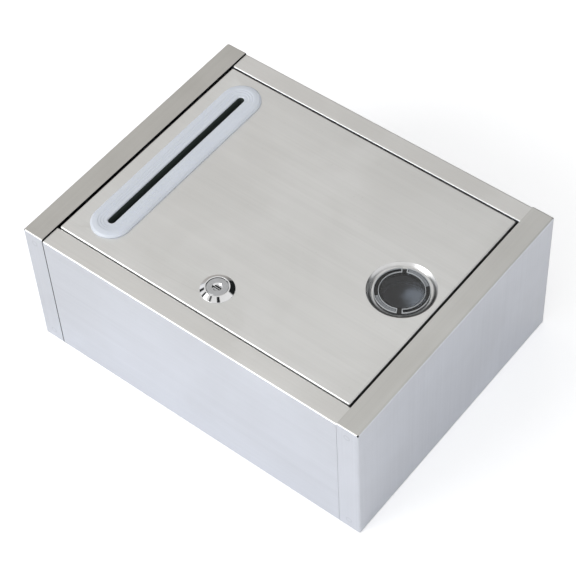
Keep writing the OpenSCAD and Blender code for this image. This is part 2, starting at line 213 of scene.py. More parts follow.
class FareBoxStage(bpy.types.PropertyGroup):
    azimuth: angle("Azimuth", "Direction that the camera looks in, round the box", 41.06)
    elevation: angle("Elevation", "Angle that the camera looks down at", 51.78)
    roll: angle("Roll", "Turn of the camera about its own axis", -3.71)
    lens: bpy.props.FloatProperty(name="Lens", description="Focal length on a 36 mm sensor",
                                  default=118.57, min=10.0, max=300.0)
    eye: bpy.props.FloatVectorProperty(name="Eye", description="Place of the camera", size=3,
                                       default=(0.4765, -0.5504, 0.9643), subtype="XYZ",
                                       unit="LENGTH")
    floor: colour("Floor", "Colour of the floor", (0.93, 0.935, 0.95))
    backlight: bpy.props.FloatProperty(name="Backlight", description="Glow of the floor's paper",
                                       default=0.35, min=0.0, max=5.0)
    key_power: bpy.props.FloatProperty(name="Key Power", description="Power of the soft lamp",
                                       default=14.0, min=0.0, max=500.0)
    key_place: bpy.props.FloatVectorProperty(name="Key Place", description="Place of the soft lamp",
                                             size=3, default=(-0.80, -1.45, 0.95), subtype="XYZ",
                                             unit="LENGTH")
    sky: bpy.props.FloatProperty(name="Sky", description="Strength of the soft light all round",
                                 default=1.15, min=0.0, max=5.0)


SETTINGS = {
    "fare_steel": FareBoxSteel, "fare_case": FareBoxCase, "fare_lid": FareBoxLid,
    "fare_slot": FareBoxSlot, "fare_window": FareBoxWindow, "fare_lock": FareBoxLock,
    "fare_stage": FareBoxStage,
}


def settings(name):
    return getattr(bpy.context.scene, name)


# ---- node groups ----

def new_group(name, inputs, outputs):
    """An empty shader group with named sockets, and its two end nodes."""
    group = bpy.data.node_groups.new(name, "ShaderNodeTree")
    for label, kind, value in inputs:
        socket = group.interface.new_socket(name=label, in_out="INPUT", socket_type=kind)
        socket.default_value = value
    for label, kind in outputs:
        group.interface.new_socket(name=label, in_out="OUTPUT", socket_type=kind)
    return group, group.nodes.new("NodeGroupInput"), group.nodes.new("NodeGroupOutput")


def add(tree, kind, **values):
    """A node of that kind, with its own properties and its sockets' plain values set."""
    node = tree.nodes.new("ShaderNode" + kind)
    for key, value in values.items():
        if hasattr(node, key):
            setattr(node, key, value)
        else:
            node.inputs[key.replace("_", " ")].default_value = value
    return node


def math_node(tree, operation, first, second=None, clamp=False):
    """A Math node fed by links or plain numbers; gives its output socket."""
    node = add(tree, "Math", operation=operation, use_clamp=clamp)
    for socket, value in zip(node.inputs, (first, second)):
        if value is None:
            continue
        if isinstance(value, (int, float)):
            socket.default_value = value
        else:
            tree.links.new(value, socket)
    return node.outputs[0]


def scale_and_add(tree, value, factor, base):
    """A Math node that gives value times factor, plus base."""
    node = add(tree, "Math", operation="MULTIPLY_ADD")
    tree.links.new(value, node.inputs[0])
    node.inputs[1].default_value = factor
    node.inputs[2].default_value = base
    return node.outputs[0]


def mix_colours(tree, factor, first, second, blend="MIX"):
    """A colour Mix node fed by links or plain colours; gives its output socket."""
    node = add(tree, "Mix", data_type="RGBA", blend_type=blend)
    for index, value in ((0, factor), (6, first), (7, second)):
        if hasattr(value, "is_output"):
            tree.links.new(value, node.inputs[index])
        elif isinstance(value, (int, float)):
            node.inputs[index].default_value = value
        else:
            node.inputs[index].default_value = (*value[:3], 1.0)
    return node.outputs[2]


def remap(tree, value, low, high, out_low=0.0, out_high=1.0):
    """A smooth Map Range node; gives its output socket."""
    node = add(tree, "MapRange", interpolation_type="SMOOTHSTEP")
    for index, number in enumerate((low, high, out_low, out_high), 1):
        node.inputs[index].default_value = number
    tree.links.new(value, node.inputs[0])
    return node.outputs[0]


def grain_group():
    """Fine lines drawn out along one direction, as a brush or rolling leaves them."""
    group, start, end = new_group(
        "Brushed Grain",
        [("Stretch", "NodeSocketVector", (1.0, 1.0, 1.0)), ("Fineness", "NodeSocketFloat", 1.0)],
        [("Lines", "NodeSocketFloat"), ("Height", "NodeSocketFloat")])
    place = add(group, "TexCoord")
    stretch = add(group, "VectorMath", operation="MULTIPLY")
    group.links.new(place.outputs["Object"], stretch.inputs[0])
    group.links.new(start.outputs["Stretch"], stretch.inputs[1])
    fine = add(group, "TexNoise", Detail=6.0, Roughness=0.65)
    broad = add(group, "TexNoise", Detail=3.0, Roughness=0.5)
    for node, factor in ((fine, 1.0), (broad, 0.22)):
        group.links.new(stretch.outputs[0], node.inputs["Vector"])
        scale = math_node(group, "MULTIPLY", start.outputs["Fineness"], factor)
        group.links.new(scale, node.inputs["Scale"])
    both = math_node(group, "ADD", math_node(group, "MULTIPLY", fine.outputs["Fac"], 0.6),
                     math_node(group, "MULTIPLY", broad.outputs["Fac"], 0.4))
    group.links.new(remap(group, both, 0.3, 0.7), end.inputs["Lines"])
    group.links.new(both, end.inputs["Height"])
    return group


def clouds_group():
    """Soft uneven patches of tone, from handling and from the sheet's own finish."""
    group, start, end = new_group(
        "Clouded Tone",
        [("Colour", "NodeSocketColor", (0.7, 0.7, 0.7, 1.0)), ("Scale", "NodeSocketFloat", 18.0),
         ("Strength", "NodeSocketFloat", 0.3)],
        [("Colour", "NodeSocketColor"), ("Patches", "NodeSocketFloat")])
    place = add(group, "TexCoord")
    noise = add(group, "TexNoise", Detail=3.5, Roughness=0.55, Distortion=0.4)
    group.links.new(place.outputs["Object"], noise.inputs["Vector"])
    group.links.new(start.outputs["Scale"], noise.inputs["Scale"])
    patches = remap(group, noise.outputs["Fac"], 0.32, 0.68)
    darker = mix_colours(group, 1.0, start.outputs["Colour"], HANDLED, "MULTIPLY")
    share_of = math_node(group, "MULTIPLY", patches, start.outputs["Strength"])
    group.links.new(mix_colours(group, share_of, start.outputs["Colour"], darker),
                    end.inputs["Colour"])
    group.links.new(patches, end.inputs["Patches"])
    return group


def marks_group():
    """Small stray marks: specks of dust, and a few short hairline scratches."""
    group, start, end = new_group(
        "Stray Marks",
        [("Scale", "NodeSocketFloat", 300.0), ("Amount", "NodeSocketFloat", 0.2)],
        [("Specks", "NodeSocketFloat"), ("Scratches", "NodeSocketFloat")])
    place = add(group, "TexCoord")
    cells = add(group, "TexVoronoi", feature="F1")
    group.links.new(place.outputs["Object"], cells.inputs["Vector"])
    group.links.new(start.outputs["Scale"], cells.inputs["Scale"])
    gate = add(group, "TexNoise", Scale=60.0, Detail=2.0)
    group.links.new(place.outputs["Object"], gate.inputs["Vector"])
    dots = remap(group, cells.outputs["Distance"], 0.05, 0.16, 1.0, 0.0)
    some = remap(group, gate.outputs["Fac"], 0.52, 0.66)
    specks = math_node(group, "MULTIPLY", math_node(group, "MULTIPLY", dots, some),
                       start.outputs["Amount"])
    group.links.new(specks, end.inputs["Specks"])
    waves = add(group, "TexNoise", Scale=34.0, Detail=5.0, Roughness=0.7, Distortion=2.5)
    group.links.new(place.outputs["Object"], waves.inputs["Vector"])
    off_centre = math_node(group, "ABSOLUTE", math_node(group, "SUBTRACT", waves.outputs["Fac"], 0.5))
    lines = remap(group, off_centre, 0.0, 0.006, 1.0, 0.0)
    group.links.new(math_node(group, "MULTIPLY", math_node(group, "MULTIPLY", lines, some),
                              start.outputs["Amount"]), end.inputs["Scratches"])
    return group


def rings_group():
    """Turning marks: fine circles about an upright axis."""
    group, start, end = new_group(
        "Turning Marks",
        [("Centre", "NodeSocketVector", (0.0, 0.0, 0.0)), ("Pitch", "NodeSocketFloat", 0.0005)],
        [("Rings", "NodeSocketFloat"), ("Radius", "NodeSocketFloat")])
    place = add(group, "TexCoord")
    shift = add(group, "VectorMath", operation="SUBTRACT")
    group.links.new(place.outputs["Object"], shift.inputs[0])
    group.links.new(start.outputs["Centre"], shift.inputs[1])
    flat = add(group, "VectorMath", operation="MULTIPLY")
    flat.inputs[1].default_value = (1.0, 1.0, 0.0)
    group.links.new(shift.outputs[0], flat.inputs[0])
    radius = add(group, "VectorMath", operation="LENGTH")
    group.links.new(flat.outputs[0], radius.inputs[0])
    turns = math_node(group, "DIVIDE", radius.outputs["Value"], start.outputs["Pitch"])
    wave = math_node(group, "SINE", math_node(group, "MULTIPLY", turns, 2 * math.pi))
    uneven = add(group, "TexNoise", noise_dimensions="1D", Scale=1.7, Detail=2.0)
    group.links.new(turns, uneven.inputs["W"])
    rings = math_node(group, "MULTIPLY", wave, uneven.outputs["Fac"])
    group.links.new(scale_and_add(group, rings, 0.5, 0.5), end.inputs["Rings"])
    group.links.new(radius.outputs["Value"], end.inputs["Radius"])
    return group


def welds_group():
    """Faint round marks where spot welds join the end caps' flanges to the shell."""
    group, start, end = new_group(
        "Spot Welds",
        [("Column", "NodeSocketFloat", 0.117), ("Middle", "NodeSocketFloat", 0.051),
         ("Spacing", "NodeSocketFloat", 0.043), ("Radius", "NodeSocketFloat", 0.0024)],
        [("Marks", "NodeSocketFloat"), ("Height", "NodeSocketFloat")])
    place = add(group, "TexCoord")
    parts = add(group, "SeparateXYZ")
    group.links.new(place.outputs["Object"], parts.inputs[0])
    across = math_node(group, "SUBTRACT", math_node(group, "ABSOLUTE", parts.outputs["X"]),
                       start.outputs["Column"])
    from_middle = math_node(group, "ABSOLUTE", math_node(group, "SUBTRACT", parts.outputs["Z"],
                                                         start.outputs["Middle"]))
    along = math_node(group, "SUBTRACT", from_middle, start.outputs["Spacing"])
    squares = math_node(group, "ADD", math_node(group, "MULTIPLY", across, across),
                        math_node(group, "MULTIPLY", along, along))
    ratio = math_node(group, "DIVIDE", math_node(group, "SQRT", squares), start.outputs["Radius"])
    inside = remap(group, ratio, 0.75, 1.05, 1.0, 0.0)
    ring = math_node(group, "MULTIPLY", inside, remap(group, ratio, 0.45, 0.85))
    group.links.new(ring, end.inputs["Marks"])
    group.links.new(inside, end.inputs["Height"])
    return group


GROUP_MAKERS = {"Spot Welds": welds_group, "Brushed Grain": grain_group, "Clouded Tone": clouds_group,
                "Stray Marks": marks_group, "Turning Marks": rings_group}


def use_group(tree, name, **values):
    """Places a shared group, building it the first time."""
    group = bpy.data.node_groups.get(name) or GROUP_MAKERS[name]()
    node = tree.nodes.new("ShaderNodeGroup")
    node.node_tree = group
    for key, value in values.items():
        node.inputs[key].default_value = value
    return node


# ---- materials ----

def new_material(name):
    material = bpy.data.materials.new(name)
    material.use_nodes = True
    tree = material.node_tree
    return material, tree, tree.nodes["Principled BSDF"]


def set_bump(tree, shader, height, strength, distance):
    bump = add(tree, "Bump", Strength=strength, Distance=distance)
    tree.links.new(height, bump.inputs["Height"])
    tree.links.new(bump.outputs["Normal"], shader.inputs["Normal"])


def brushed_steel(name, rgb, stretch, roughness, grain, clouds, fineness=700.0):
    """Brushed or rolled stainless sheet; stretch is small along the grain and 1 across it."""
    material, tree, shader = new_material(name)
    shader.inputs["Metallic"].default_value = 1.0
    tone = use_group(tree, "Clouded Tone", Colour=(*rgb, 1.0), Scale=16.0, Strength=clouds)
    lines = use_group(tree, "Brushed Grain", Stretch=stretch, Fineness=fineness)
    marks = use_group(tree, "Stray Marks", Scale=260.0, Amount=0.22)
    streaks = mix_colours(tree, 1.0, tone.outputs["Colour"], BRUSHED, "MULTIPLY")
    lined = mix_colours(tree, math_node(tree, "MULTIPLY", lines.outputs["Lines"], grain),
                        tone.outputs["Colour"], streaks)
    speckled = mix_colours(tree, marks.outputs["Specks"], lined, DUST)
    tree.links.new(speckled, shader.inputs["Base Color"])
    rough = scale_and_add(tree, lines.outputs["Lines"], 0.10 * grain, roughness)
    haze = math_node(tree, "MULTIPLY", tone.outputs["Patches"], 0.05)
    scuffs = math_node(tree, "MULTIPLY", marks.outputs["Scratches"], 0.15)
    hazed = math_node(tree, "ADD", rough, haze)
    tree.links.new(math_node(tree, "ADD", hazed, scuffs, clamp=True), shader.inputs["Roughness"])
    set_bump(tree, shader, lines.outputs["Height"], 0.10 * grain + 0.02, 0.02 * MM)
    return material


def welded_steel(name, rgb, stretch):
    """The end caps' walls: brushed steel with the marks of spot welds on the flanges."""
    material = steel_sheet(name, rgb, stretch)
    tree = material.node_tree
    shader = tree.nodes["Principled BSDF"]
    welds = use_group(tree, "Spot Welds")
    base = shader.inputs["Base Color"].links[0].from_socket
    faint = math_node(tree, "MULTIPLY", welds.outputs["Marks"], 0.8)
    tree.links.new(mix_colours(tree, faint, base, [0.8 * part for part in rgb]),
                   shader.inputs["Base Color"])
    grain = shader.inputs["Normal"].links[0].from_node
    dent = add(tree, "Bump", Strength=0.25, Distance=0.1 * MM, invert=True)
    tree.links.new(welds.outputs["Height"], dent.inputs["Height"])
    tree.links.new(grain.outputs["Normal"], dent.inputs["Normal"])
    tree.links.new(dent.outputs["Normal"], shader.inputs["Normal"])
    return material


def polished_steel(name, rgb=(0.80, 0.80, 0.79), roughness=0.09):
    """Bright pressed or plated metal with a faint orange-peel."""
    material, tree, shader = new_material(name)
    shader.inputs["Metallic"].default_value = 1.0
    tone = use_group(tree, "Clouded Tone", Colour=(*rgb, 1.0), Scale=90.0, Strength=0.4)
    marks = use_group(tree, "Stray Marks", Scale=500.0, Amount=0.3)
    tree.links.new(tone.outputs["Colour"], shader.inputs["Base Color"])
    rough = scale_and_add(tree, tone.outputs["Patches"], 0.05, roughness)
    scuffs = math_node(tree, "MULTIPLY", marks.outputs["Scratches"], 0.2)
    tree.links.new(math_node(tree, "ADD", rough, scuffs, clamp=True), shader.inputs["Roughness"])
    set_bump(tree, shader, tone.outputs["Patches"], 0.05, 0.05 * MM)
    return material


def turned_metal(name, rgb, centre, pitch, roughness=0.3, depth=0.35):
    """Metal faced on a lathe: fine circles about the piece's own axis."""
    material, tree, shader = new_material(name)
    shader.inputs["Metallic"].default_value = 1.0
    rings = use_group(tree, "Turning Marks", Centre=centre, Pitch=pitch)
    tone = use_group(tree, "Clouded Tone", Colour=(*rgb, 1.0), Scale=220.0, Strength=0.5)
    dark = mix_colours(tree, 1.0, tone.outputs["Colour"], TURNED, "MULTIPLY")
    tree.links.new(mix_colours(tree, rings.outputs["Rings"], tone.outputs["Colour"], dark),
                   shader.inputs["Base Color"])
    tree.links.new(scale_and_add(tree, rings.outputs["Rings"], 0.10, roughness),
                   shader.inputs["Roughness"])
    set_bump(tree, shader, rings.outputs["Rings"], depth, 0.04 * MM)
    return material


def moulded_plastic(name, rgb, roughness, mottle=0.25, grain_scale=900.0, subsurface=0.0):
    """Injection-moulded plastic with a fine matt texture."""
    material, tree, shader = new_material(name)
    tone = use_group(tree, "Clouded Tone", Colour=(*rgb, 1.0), Scale=40.0, Strength=mottle)
    marks = use_group(tree, "Stray Marks", Scale=420.0, Amount=0.25)
    worn = mix_colours(tree, marks.outputs["Specks"], tone.outputs["Colour"],
                       [0.6 * part for part in rgb])
    tree.links.new(worn, shader.inputs["Base Color"])
    place = add(tree, "TexCoord")
    skin = add(tree, "TexNoise", Scale=grain_scale, Detail=3.0)
    tree.links.new(place.outputs["Object"], skin.inputs["Vector"])
    tree.links.new(scale_and_add(tree, skin.outputs["Fac"], 0.12, roughness),
                   shader.inputs["Roughness"])
    shader.inputs["Subsurface Weight"].default_value = subsurface
    shader.inputs["Subsurface Radius"].default_value = (0.002, 0.002, 0.0025)
    shader.inputs["Subsurface Scale"].default_value = 1.0
    set_bump(tree, shader, skin.outputs["Fac"], 0.12, 0.03 * MM)
    return material


def clear_plastic(name, roughness):
    """Clear moulded plastic with a smoky tint and faint hairlines."""
    material, tree, shader = new_material(name)
    shader.inputs["Transmission Weight"].default_value = 1.0
    shader.inputs["IOR"].default_value = 1.52
    tone = use_group(tree, "Clouded Tone", Colour=(*settings("fare_window").tint, 1.0),
                     Scale=120.0, Strength=0.25)
    tree.links.new(tone.outputs["Colour"], shader.inputs["Base Color"])
    marks = use_group(tree, "Stray Marks", Scale=700.0, Amount=0.5)
    tree.links.new(scale_and_add(tree, marks.outputs["Scratches"], 0.2, roughness),
                   shader.inputs["Roughness"])
    set_bump(tree, shader, tone.outputs["Patches"], 0.06, 0.05 * MM)
    return material


def lock_face():
    look = settings("fare_lock")
    centre = (LOCK_AT.x, LOCK_AT.y, 0.0)
    return turned_metal("plug_face", (0.62, 0.63, 0.64), centre, look.bore / 8, 0.26, 0.6)


def steel_sheet(name, rgb, stretch):
    look = settings("fare_steel")
    return brushed_steel(name, rgb, stretch, look.roughness, look.grain, look.clouds)


MATERIAL_MAKERS = {
    "lid_steel": lambda: steel_sheet("lid_steel", settings("fare_steel").lid, ALONG_X),
    "rim_steel": lambda: steel_sheet("rim_steel", settings("fare_steel").rim, ALONG_X),
    "flange_steel": lambda: steel_sheet("flange_steel", settings("fare_steel").flange, ALONG_Y),
    # the left end cap's top in a darker copy of the steel, as painted shade
    "left_flange_steel": lambda: steel_sheet("left_flange_steel",
                                             settings("fare_steel").shaded_left_flange, ALONG_Y),
    # near-black steel as painted shade in the seams
    "seam_shade_steel": lambda: steel_sheet("seam_shade_steel", settings("fare_steel").seam, ALONG_Z),
    "wall_steel_x": lambda: steel_sheet("wall_steel_x", settings("fare_steel").wall, ALONG_X),
    "wall_steel_z": lambda: welded_steel("wall_steel_z", settings("fare_steel").wall, ALONG_Z),
    "strip_steel": lambda: steel_sheet("strip_steel", settings("fare_steel").inside, ALONG_Y),
    "dish_polish": lambda: polished_steel("dish_polish", (0.70, 0.70, 0.695), 0.27),
    "chrome_plate": lambda: polished_steel("chrome_plate", (0.84, 0.84, 0.85), 0.04),
    "zinc_plate": lambda: polished_steel("zinc_plate", (0.66, 0.66, 0.64), 0.24),
    # dark spring steel for the pin clips, also used as painted shade inside the keyway
    "dark_spring_and_keyway_shade": lambda: polished_steel("dark_spring_and_keyway_shade", (0.10, 0.10, 0.11), 0.35),
    "yellow_brass": lambda: polished_steel("yellow_brass", (0.72, 0.54, 0.24), 0.26),
    "plug_face": lock_face,
    "white_bezel": lambda: moulded_plastic("white_bezel", settings("fare_slot").white, 0.36, 0.15,
                                           subsurface=0.15),
    "dark_throat": lambda: moulded_plastic("dark_throat", settings("fare_slot").dark, 0.32),
    "black_nylon": lambda: moulded_plastic("black_nylon", (0.018, 0.018, 0.020), 0.42),
    "pale_nylon": lambda: moulded_plastic("pale_nylon", (0.62, 0.60, 0.53), 0.45),
    "black_rubber": lambda: moulded_plastic("black_rubber", (0.014, 0.014, 0.014), 0.72),
    "clear_plastic": lambda: clear_plastic("clear_plastic", 0.03),
    # pale opaque plastic as a painted highlight on the lens's rims
    "painted_rim_highlight": lambda: moulded_plastic("painted_rim_highlight", settings("fare_window").rim_highlight_tone, 0.16),
    "frosted_plastic": lambda: moulded_plastic("frosted_plastic", settings("fare_window").pad_tone,
                                               0.34, 0.6),
}


def material(name):
    """A named finish, built the first time that it is asked for."""
    return bpy.data.materials.get(name) or MATERIAL_MAKERS[name]()


# ---- mesh helpers ----

def flatten(shape, kind):
    """The elements of one kind in an operator's result."""
    return [item for item in shape if isinstance(item, kind)]


def place_circle(bm, centre, radius, steps=ROUND_STEPS):
    """A loop of edges, turned half a step so that no point lies on either axis."""
    turn = Matrix.Translation(centre) @ Matrix.Rotation(math.pi / steps, 4, "Z")
    made = bmesh.ops.create_circle(bm, segments=steps, radius=radius, matrix=turn)
    return made["verts"], sorted({e for v in made["verts"] for e in v.link_edges},
                                 key=lambda e: e.index)


def place_slot(bm, centre, radius, half, steps=ROUND_STEPS):
    """A circle pulled apart along Y into a loop with round ends."""
    verts, edges = place_circle(bm, centre, radius, steps)
    for side in (-1, 1):
        ends = [v for v in verts if (v.co.y - centre[1]) * side > 0]
        bmesh.ops.translate(bm, verts=ends, vec=(0, side * half, 0))
    return verts, edges


def place_rectangle(bm, low, high):
    """A loop of four edges at low's height."""
    centre = (Vector(low) + Vector(high)) / 2
    shape = Matrix.Translation((centre.x, centre.y, low[2])) @ Matrix.Diagonal(
        (high[0] - low[0], high[1] - low[1], 1.0, 1.0))
    made = bmesh.ops.create_grid(bm, x_segments=1, y_segments=1, size=0.5, matrix=shape)
    faces = {f for v in made["verts"] for f in v.link_faces}
    bmesh.ops.delete(bm, geom=list(faces), context="FACES_ONLY")
    return made["verts"], list({e for v in made["verts"] for e in v.link_edges})


def pull_edges(bm, edges, move):
    """Extrudes edges into a new strip and gives the strip's far edges."""
    made = bmesh.ops.extrude_edge_only(bm, edges=edges)["geom"]
    bmesh.ops.translate(bm, verts=flatten(made, bmesh.types.BMVert), vec=move)
    return flatten(made, bmesh.types.BMEdge)


def pull_loop(bm, edges, centre, scale, drop):
    """Extrudes a loop, scales it about an upright axis and lowers it."""
    made = bmesh.ops.extrude_edge_only(bm, edges=edges)["geom"]
    verts = flatten(made, bmesh.types.BMVert)
    about = Matrix.Translation(-Vector(centre))
    bmesh.ops.scale(bm, verts=verts, vec=(scale, scale, 1.0), space=about)
    bmesh.ops.translate(bm, verts=verts, vec=(0, 0, -drop))
    return flatten(made, bmesh.types.BMEdge)


def sweep_slot(bm, outline, centre, half):
    """Carries a closed outline, given as radius and height, round a slot with round ends."""
    first_r, first_z = outline[0]
    verts, edges = place_slot(bm, (centre[0], centre[1], first_z), first_r, half)
    radius, height = first_r, first_z
    for next_r, next_z in [*outline[1:], outline[0]]:
        made = bmesh.ops.extrude_edge_only(bm, edges=edges)["geom"]
        edges = flatten(made, bmesh.types.BMEdge)
        verts = flatten(made, bmesh.types.BMVert)
        for side in (-1, 1):
            end = [v for v in verts if (v.co.y - centre[1]) * side > 0]
            about = Matrix.Translation(-Vector((centre[0], centre[1] + side * half, 0)))
            bmesh.ops.scale(bm, verts=end, vec=(next_r / radius, next_r / radius, 1.0),
                            space=about)
        bmesh.ops.translate(bm, verts=verts, vec=(0, 0, next_z - height))
        radius, height = next_r, next_z


def rounded(points, radius, steps=5):
    """A closed outline with its corners turned into arcs; radius may be one number or a list."""
    count = len(points)
    radii = radius if isinstance(radius, (list, tuple)) else [radius] * count
    outline = []
    for i, (here, r) in enumerate(zip(points, radii)):
        corner = Vector(here)
        back = Vector(points[i - 1]) - corner
        ahead = Vector(points[(i + 1) % count]) - corner
        if r <= 0:
            outline.append(corner)
            continue
        half = back.angle(ahead) / 2
        cut = min(r / math.tan(half), back.length * 0.49, ahead.length * 0.49)
        r_fit = cut * math.tan(half)
        first = corner + back.normalized() * cut
        last = corner + ahead.normalized() * cut
        inward = (back.normalized() + ahead.normalized()).normalized()
        centre = corner + inward * (r_fit / math.sin(half))
        spread = (first - centre).angle_signed(last - centre)
        for k in range(steps + 1):
            outline.append(centre + Matrix.Rotation(-spread * k / steps, 2) @ (first - centre))
    return outline


def turn_outline(bm, outline, centre, steps=ROUND_STEPS, sweep=2 * math.pi, start=0.0):
    """Spins a closed outline, given as radius and height, about an upright axis."""
    verts = [bm.verts.new((centre[0] + r * math.cos(start), centre[1] + r * math.sin(start), z))
             for r, z in outline]
    whole = sweep >= 2 * math.pi - 1e-6
    edges = [bm.edges.new(pair) for pair in zip(verts, verts[1:] + verts[:1])]
    shape = [*verts, *edges] if whole else [*verts, *edges, bm.faces.new(verts)]
    bmesh.ops.spin(bm, geom=shape, cent=(centre[0], centre[1], 0), axis=(0, 0, 1), angle=sweep,
                   steps=steps, use_merge=whole)


def face_out(bm):
    """Merges doubles, drops what has no face, and points closed shells outwards."""
    bmesh.ops.remove_doubles(bm, verts=bm.verts[:], dist=DOUBLE)
    bmesh.ops.delete(bm, geom=[e for e in bm.edges if not e.link_faces], context="EDGES")
    loose = [f for f in bm.faces if f.calc_area() < 1e-14]
    bmesh.ops.delete(bm, geom=loose, context="FACES")
    bmesh.ops.recalc_face_normals(bm, faces=bm.faces[:])


def islands(bm):
    """The faces of each separate part of a mesh."""
    left = set(bm.faces)
    while left:
        group = {left.pop()}
        edge_of = list(group)
        while edge_of:
            near = {f for e in edge_of.pop().edges for f in e.link_faces} - group
            group |= near
            edge_of += near
        left -= group
        yield group


def point_sheet(bm, height, up):
    """Merges doubles and turns each part of a sheet one way: its faces at that height up, or down."""
    bmesh.ops.remove_doubles(bm, verts=bm.verts[:], dist=DOUBLE)
    bmesh.ops.recalc_face_normals(bm, faces=bm.faces[:])
    for group in islands(bm):
        flat = max((f for f in group if abs(f.calc_center_median().z - height) < 1.5 * MM
                    and abs(f.normal.z) > 0.99), key=lambda f: f.calc_area())
        if (flat.normal.z > 0) != up:
            bmesh.ops.reverse_faces(bm, faces=list(group))


def bend_edges(bm, edges, radius):
    """Rounds fold lines."""
    bmesh.ops.bevel(bm, geom=edges, offset=radius, offset_type="OFFSET", segments=FOLD_STEPS,
                    profile=0.5, affect="EDGES", material=-1, clamp_overlap=True)


def finish_piece(bm, name, body, nodes, finishes, choose=None, sheet=0.0, edge=0.0):
    """Makes the object, gives it its finishes, and hangs it on its body in place of CAD nodes."""
    for face in bm.faces:
        face.smooth = True
        face.material_index = choose(face) if choose else 0
    for rim in bm.edges:
        rim.smooth = not (len(rim.link_faces) == 2 and rim.calc_face_angle(0) > SHARP_ANGLE)
    mesh = bpy.data.meshes.new(name)
    bm.to_mesh(mesh)
    bm.free()
    piece = bpy.data.objects.new(name, mesh)
    bpy.context.scene.collection.objects.link(piece)
    for finish in finishes:
        mesh.materials.append(material(finish))
    if sheet:
        wall = piece.modifiers.new("Sheet", "SOLIDIFY")
        wall.thickness = sheet
        wall.offset = -1.0
        wall.use_even_offset = True
        wall.use_quality_normals = True
    if edge:
        bevel = piece.modifiers.new("Edges", "BEVEL")
        bevel.width = edge
        bevel.segments = 2
        bevel.limit_method = "ANGLE"
        bevel.angle_limit = math.radians(50)
    weigh = piece.modifiers.new("Flat Faces", "WEIGHTED_NORMAL")
    weigh.keep_sharp = True
    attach(piece, body)
    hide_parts(*nodes)
    return piece


def dress(node, *finishes):
    """Gives a CAD node its finish."""
    mesh = frame["nodes"][node].data
    mesh.materials.clear()
    for finish in finishes:
        mesh.materials.append(material(finish))


# ---- case ----

def lies_flat(face):
    """1 on the rims, flanges and floor, and 0 on the walls."""
    return int(abs(face.normal.z) > 0.75)


def folded_case(bm, x_low, x_high, inset, holes):
    """The case's section folded up from its floor, between two stations along X."""
    size = settings("fare_case")
    y = SHELL_HIGH.y - inset
    top = SHELL_HIGH.z - inset
    ledge_drop = SHELL_HIGH.z - (LID_LOW.z - size.ledge_gap)
    _, border = place_rectangle(bm, (x_low, -y, inset), (x_high, y, inset))
    outline = list(border)
    for at_x, at_y in holes:
        outline += place_circle(bm, (at_x, at_y, inset), size.mount_hole, 32)[1]
    bmesh.ops.triangle_fill(bm, edges=outline, use_beauty=True, normal=(0, 0, -1))
    folds, openings = [], []
    rise = (0, 0, top - inset)
    front = [rise, (0, size.front_rim - 2 * inset, 0)]
    rear = [rise, (0, 2 * inset - size.rear_rim, 0)]
    if not inset:
        front += [(0, 0, -ledge_drop), (0, size.ledge, 0)]
        rear += [(0, 0, -size.rear_lip)]
    for side, steps in ((-1, front), (1, rear)):
        edges = [e for e in border if all(abs(v.co.y - side * y) < 1e-9 for v in e.verts)]
        for number, step in enumerate(steps):
            (openings if number == 2 else folds).extend(edges)
            edges = pull_edges(bm, edges, step)
    return folds, openings


class FAREBOX_OT_shell(bpy.types.Operator):
    """Folds the shell: front wall, floor, rear wall, rims and ledge"""
    bl_idname = "farebox.shell"
    bl_label = "Shell"

    def execute(self, context):
        size = settings("fare_case")
        ends = (size.left_seam - CAP_LOW.x, CAP_LOW.x - size.right_seam)
        holes = [(sx * size.mount_x / 2, sy * size.mount_y / 2) for sx in (-1, 1) for sy in (-1, 1)]
        bm = bmesh.new()
        folds, openings = folded_case(bm, *ends, 0.0, holes)
        bend_edges(bm, openings, size.rim_fold)
        bend_edges(bm, [fold for fold in folds if fold.is_valid], size.fold)
        point_sheet(bm, 0.0, up=False)
        finish_piece(bm, "shell_sheet", "case", ["shell"],
                     ["wall_steel_x", "rim_steel"],
                     choose=lies_flat, sheet=size.sheet, edge=size.cut_edge)
        self.flanges(ends)
        return {"FINISHED"}

    def flanges(self, ends):
        """The shell's set-back edges, which the end caps lap over."""
        size = settings("fare_case")
        bm = bmesh.new()
        folds = []
        for side, end in zip((-1, 1), ends):
            near, far = sorted((end - side * size.lap, side * SHELL_HIGH.x))
            folds += folded_case(bm, near, far, size.sheet + size.lap_gap, [])[0]
        bend_edges(bm, folds, size.fold - size.sheet)
        point_sheet(bm, 0.0, up=False)
        # the outer side of the set-back edges takes the near-black seam steel, as painted shade in
        # the seams
        flanges = finish_piece(bm, "shell_flanges", "case", [],
                               ["seam_shade_steel", "strip_steel"], sheet=size.sheet, edge=0.1 * MM)
        flanges.modifiers["Sheet"].material_offset = 1


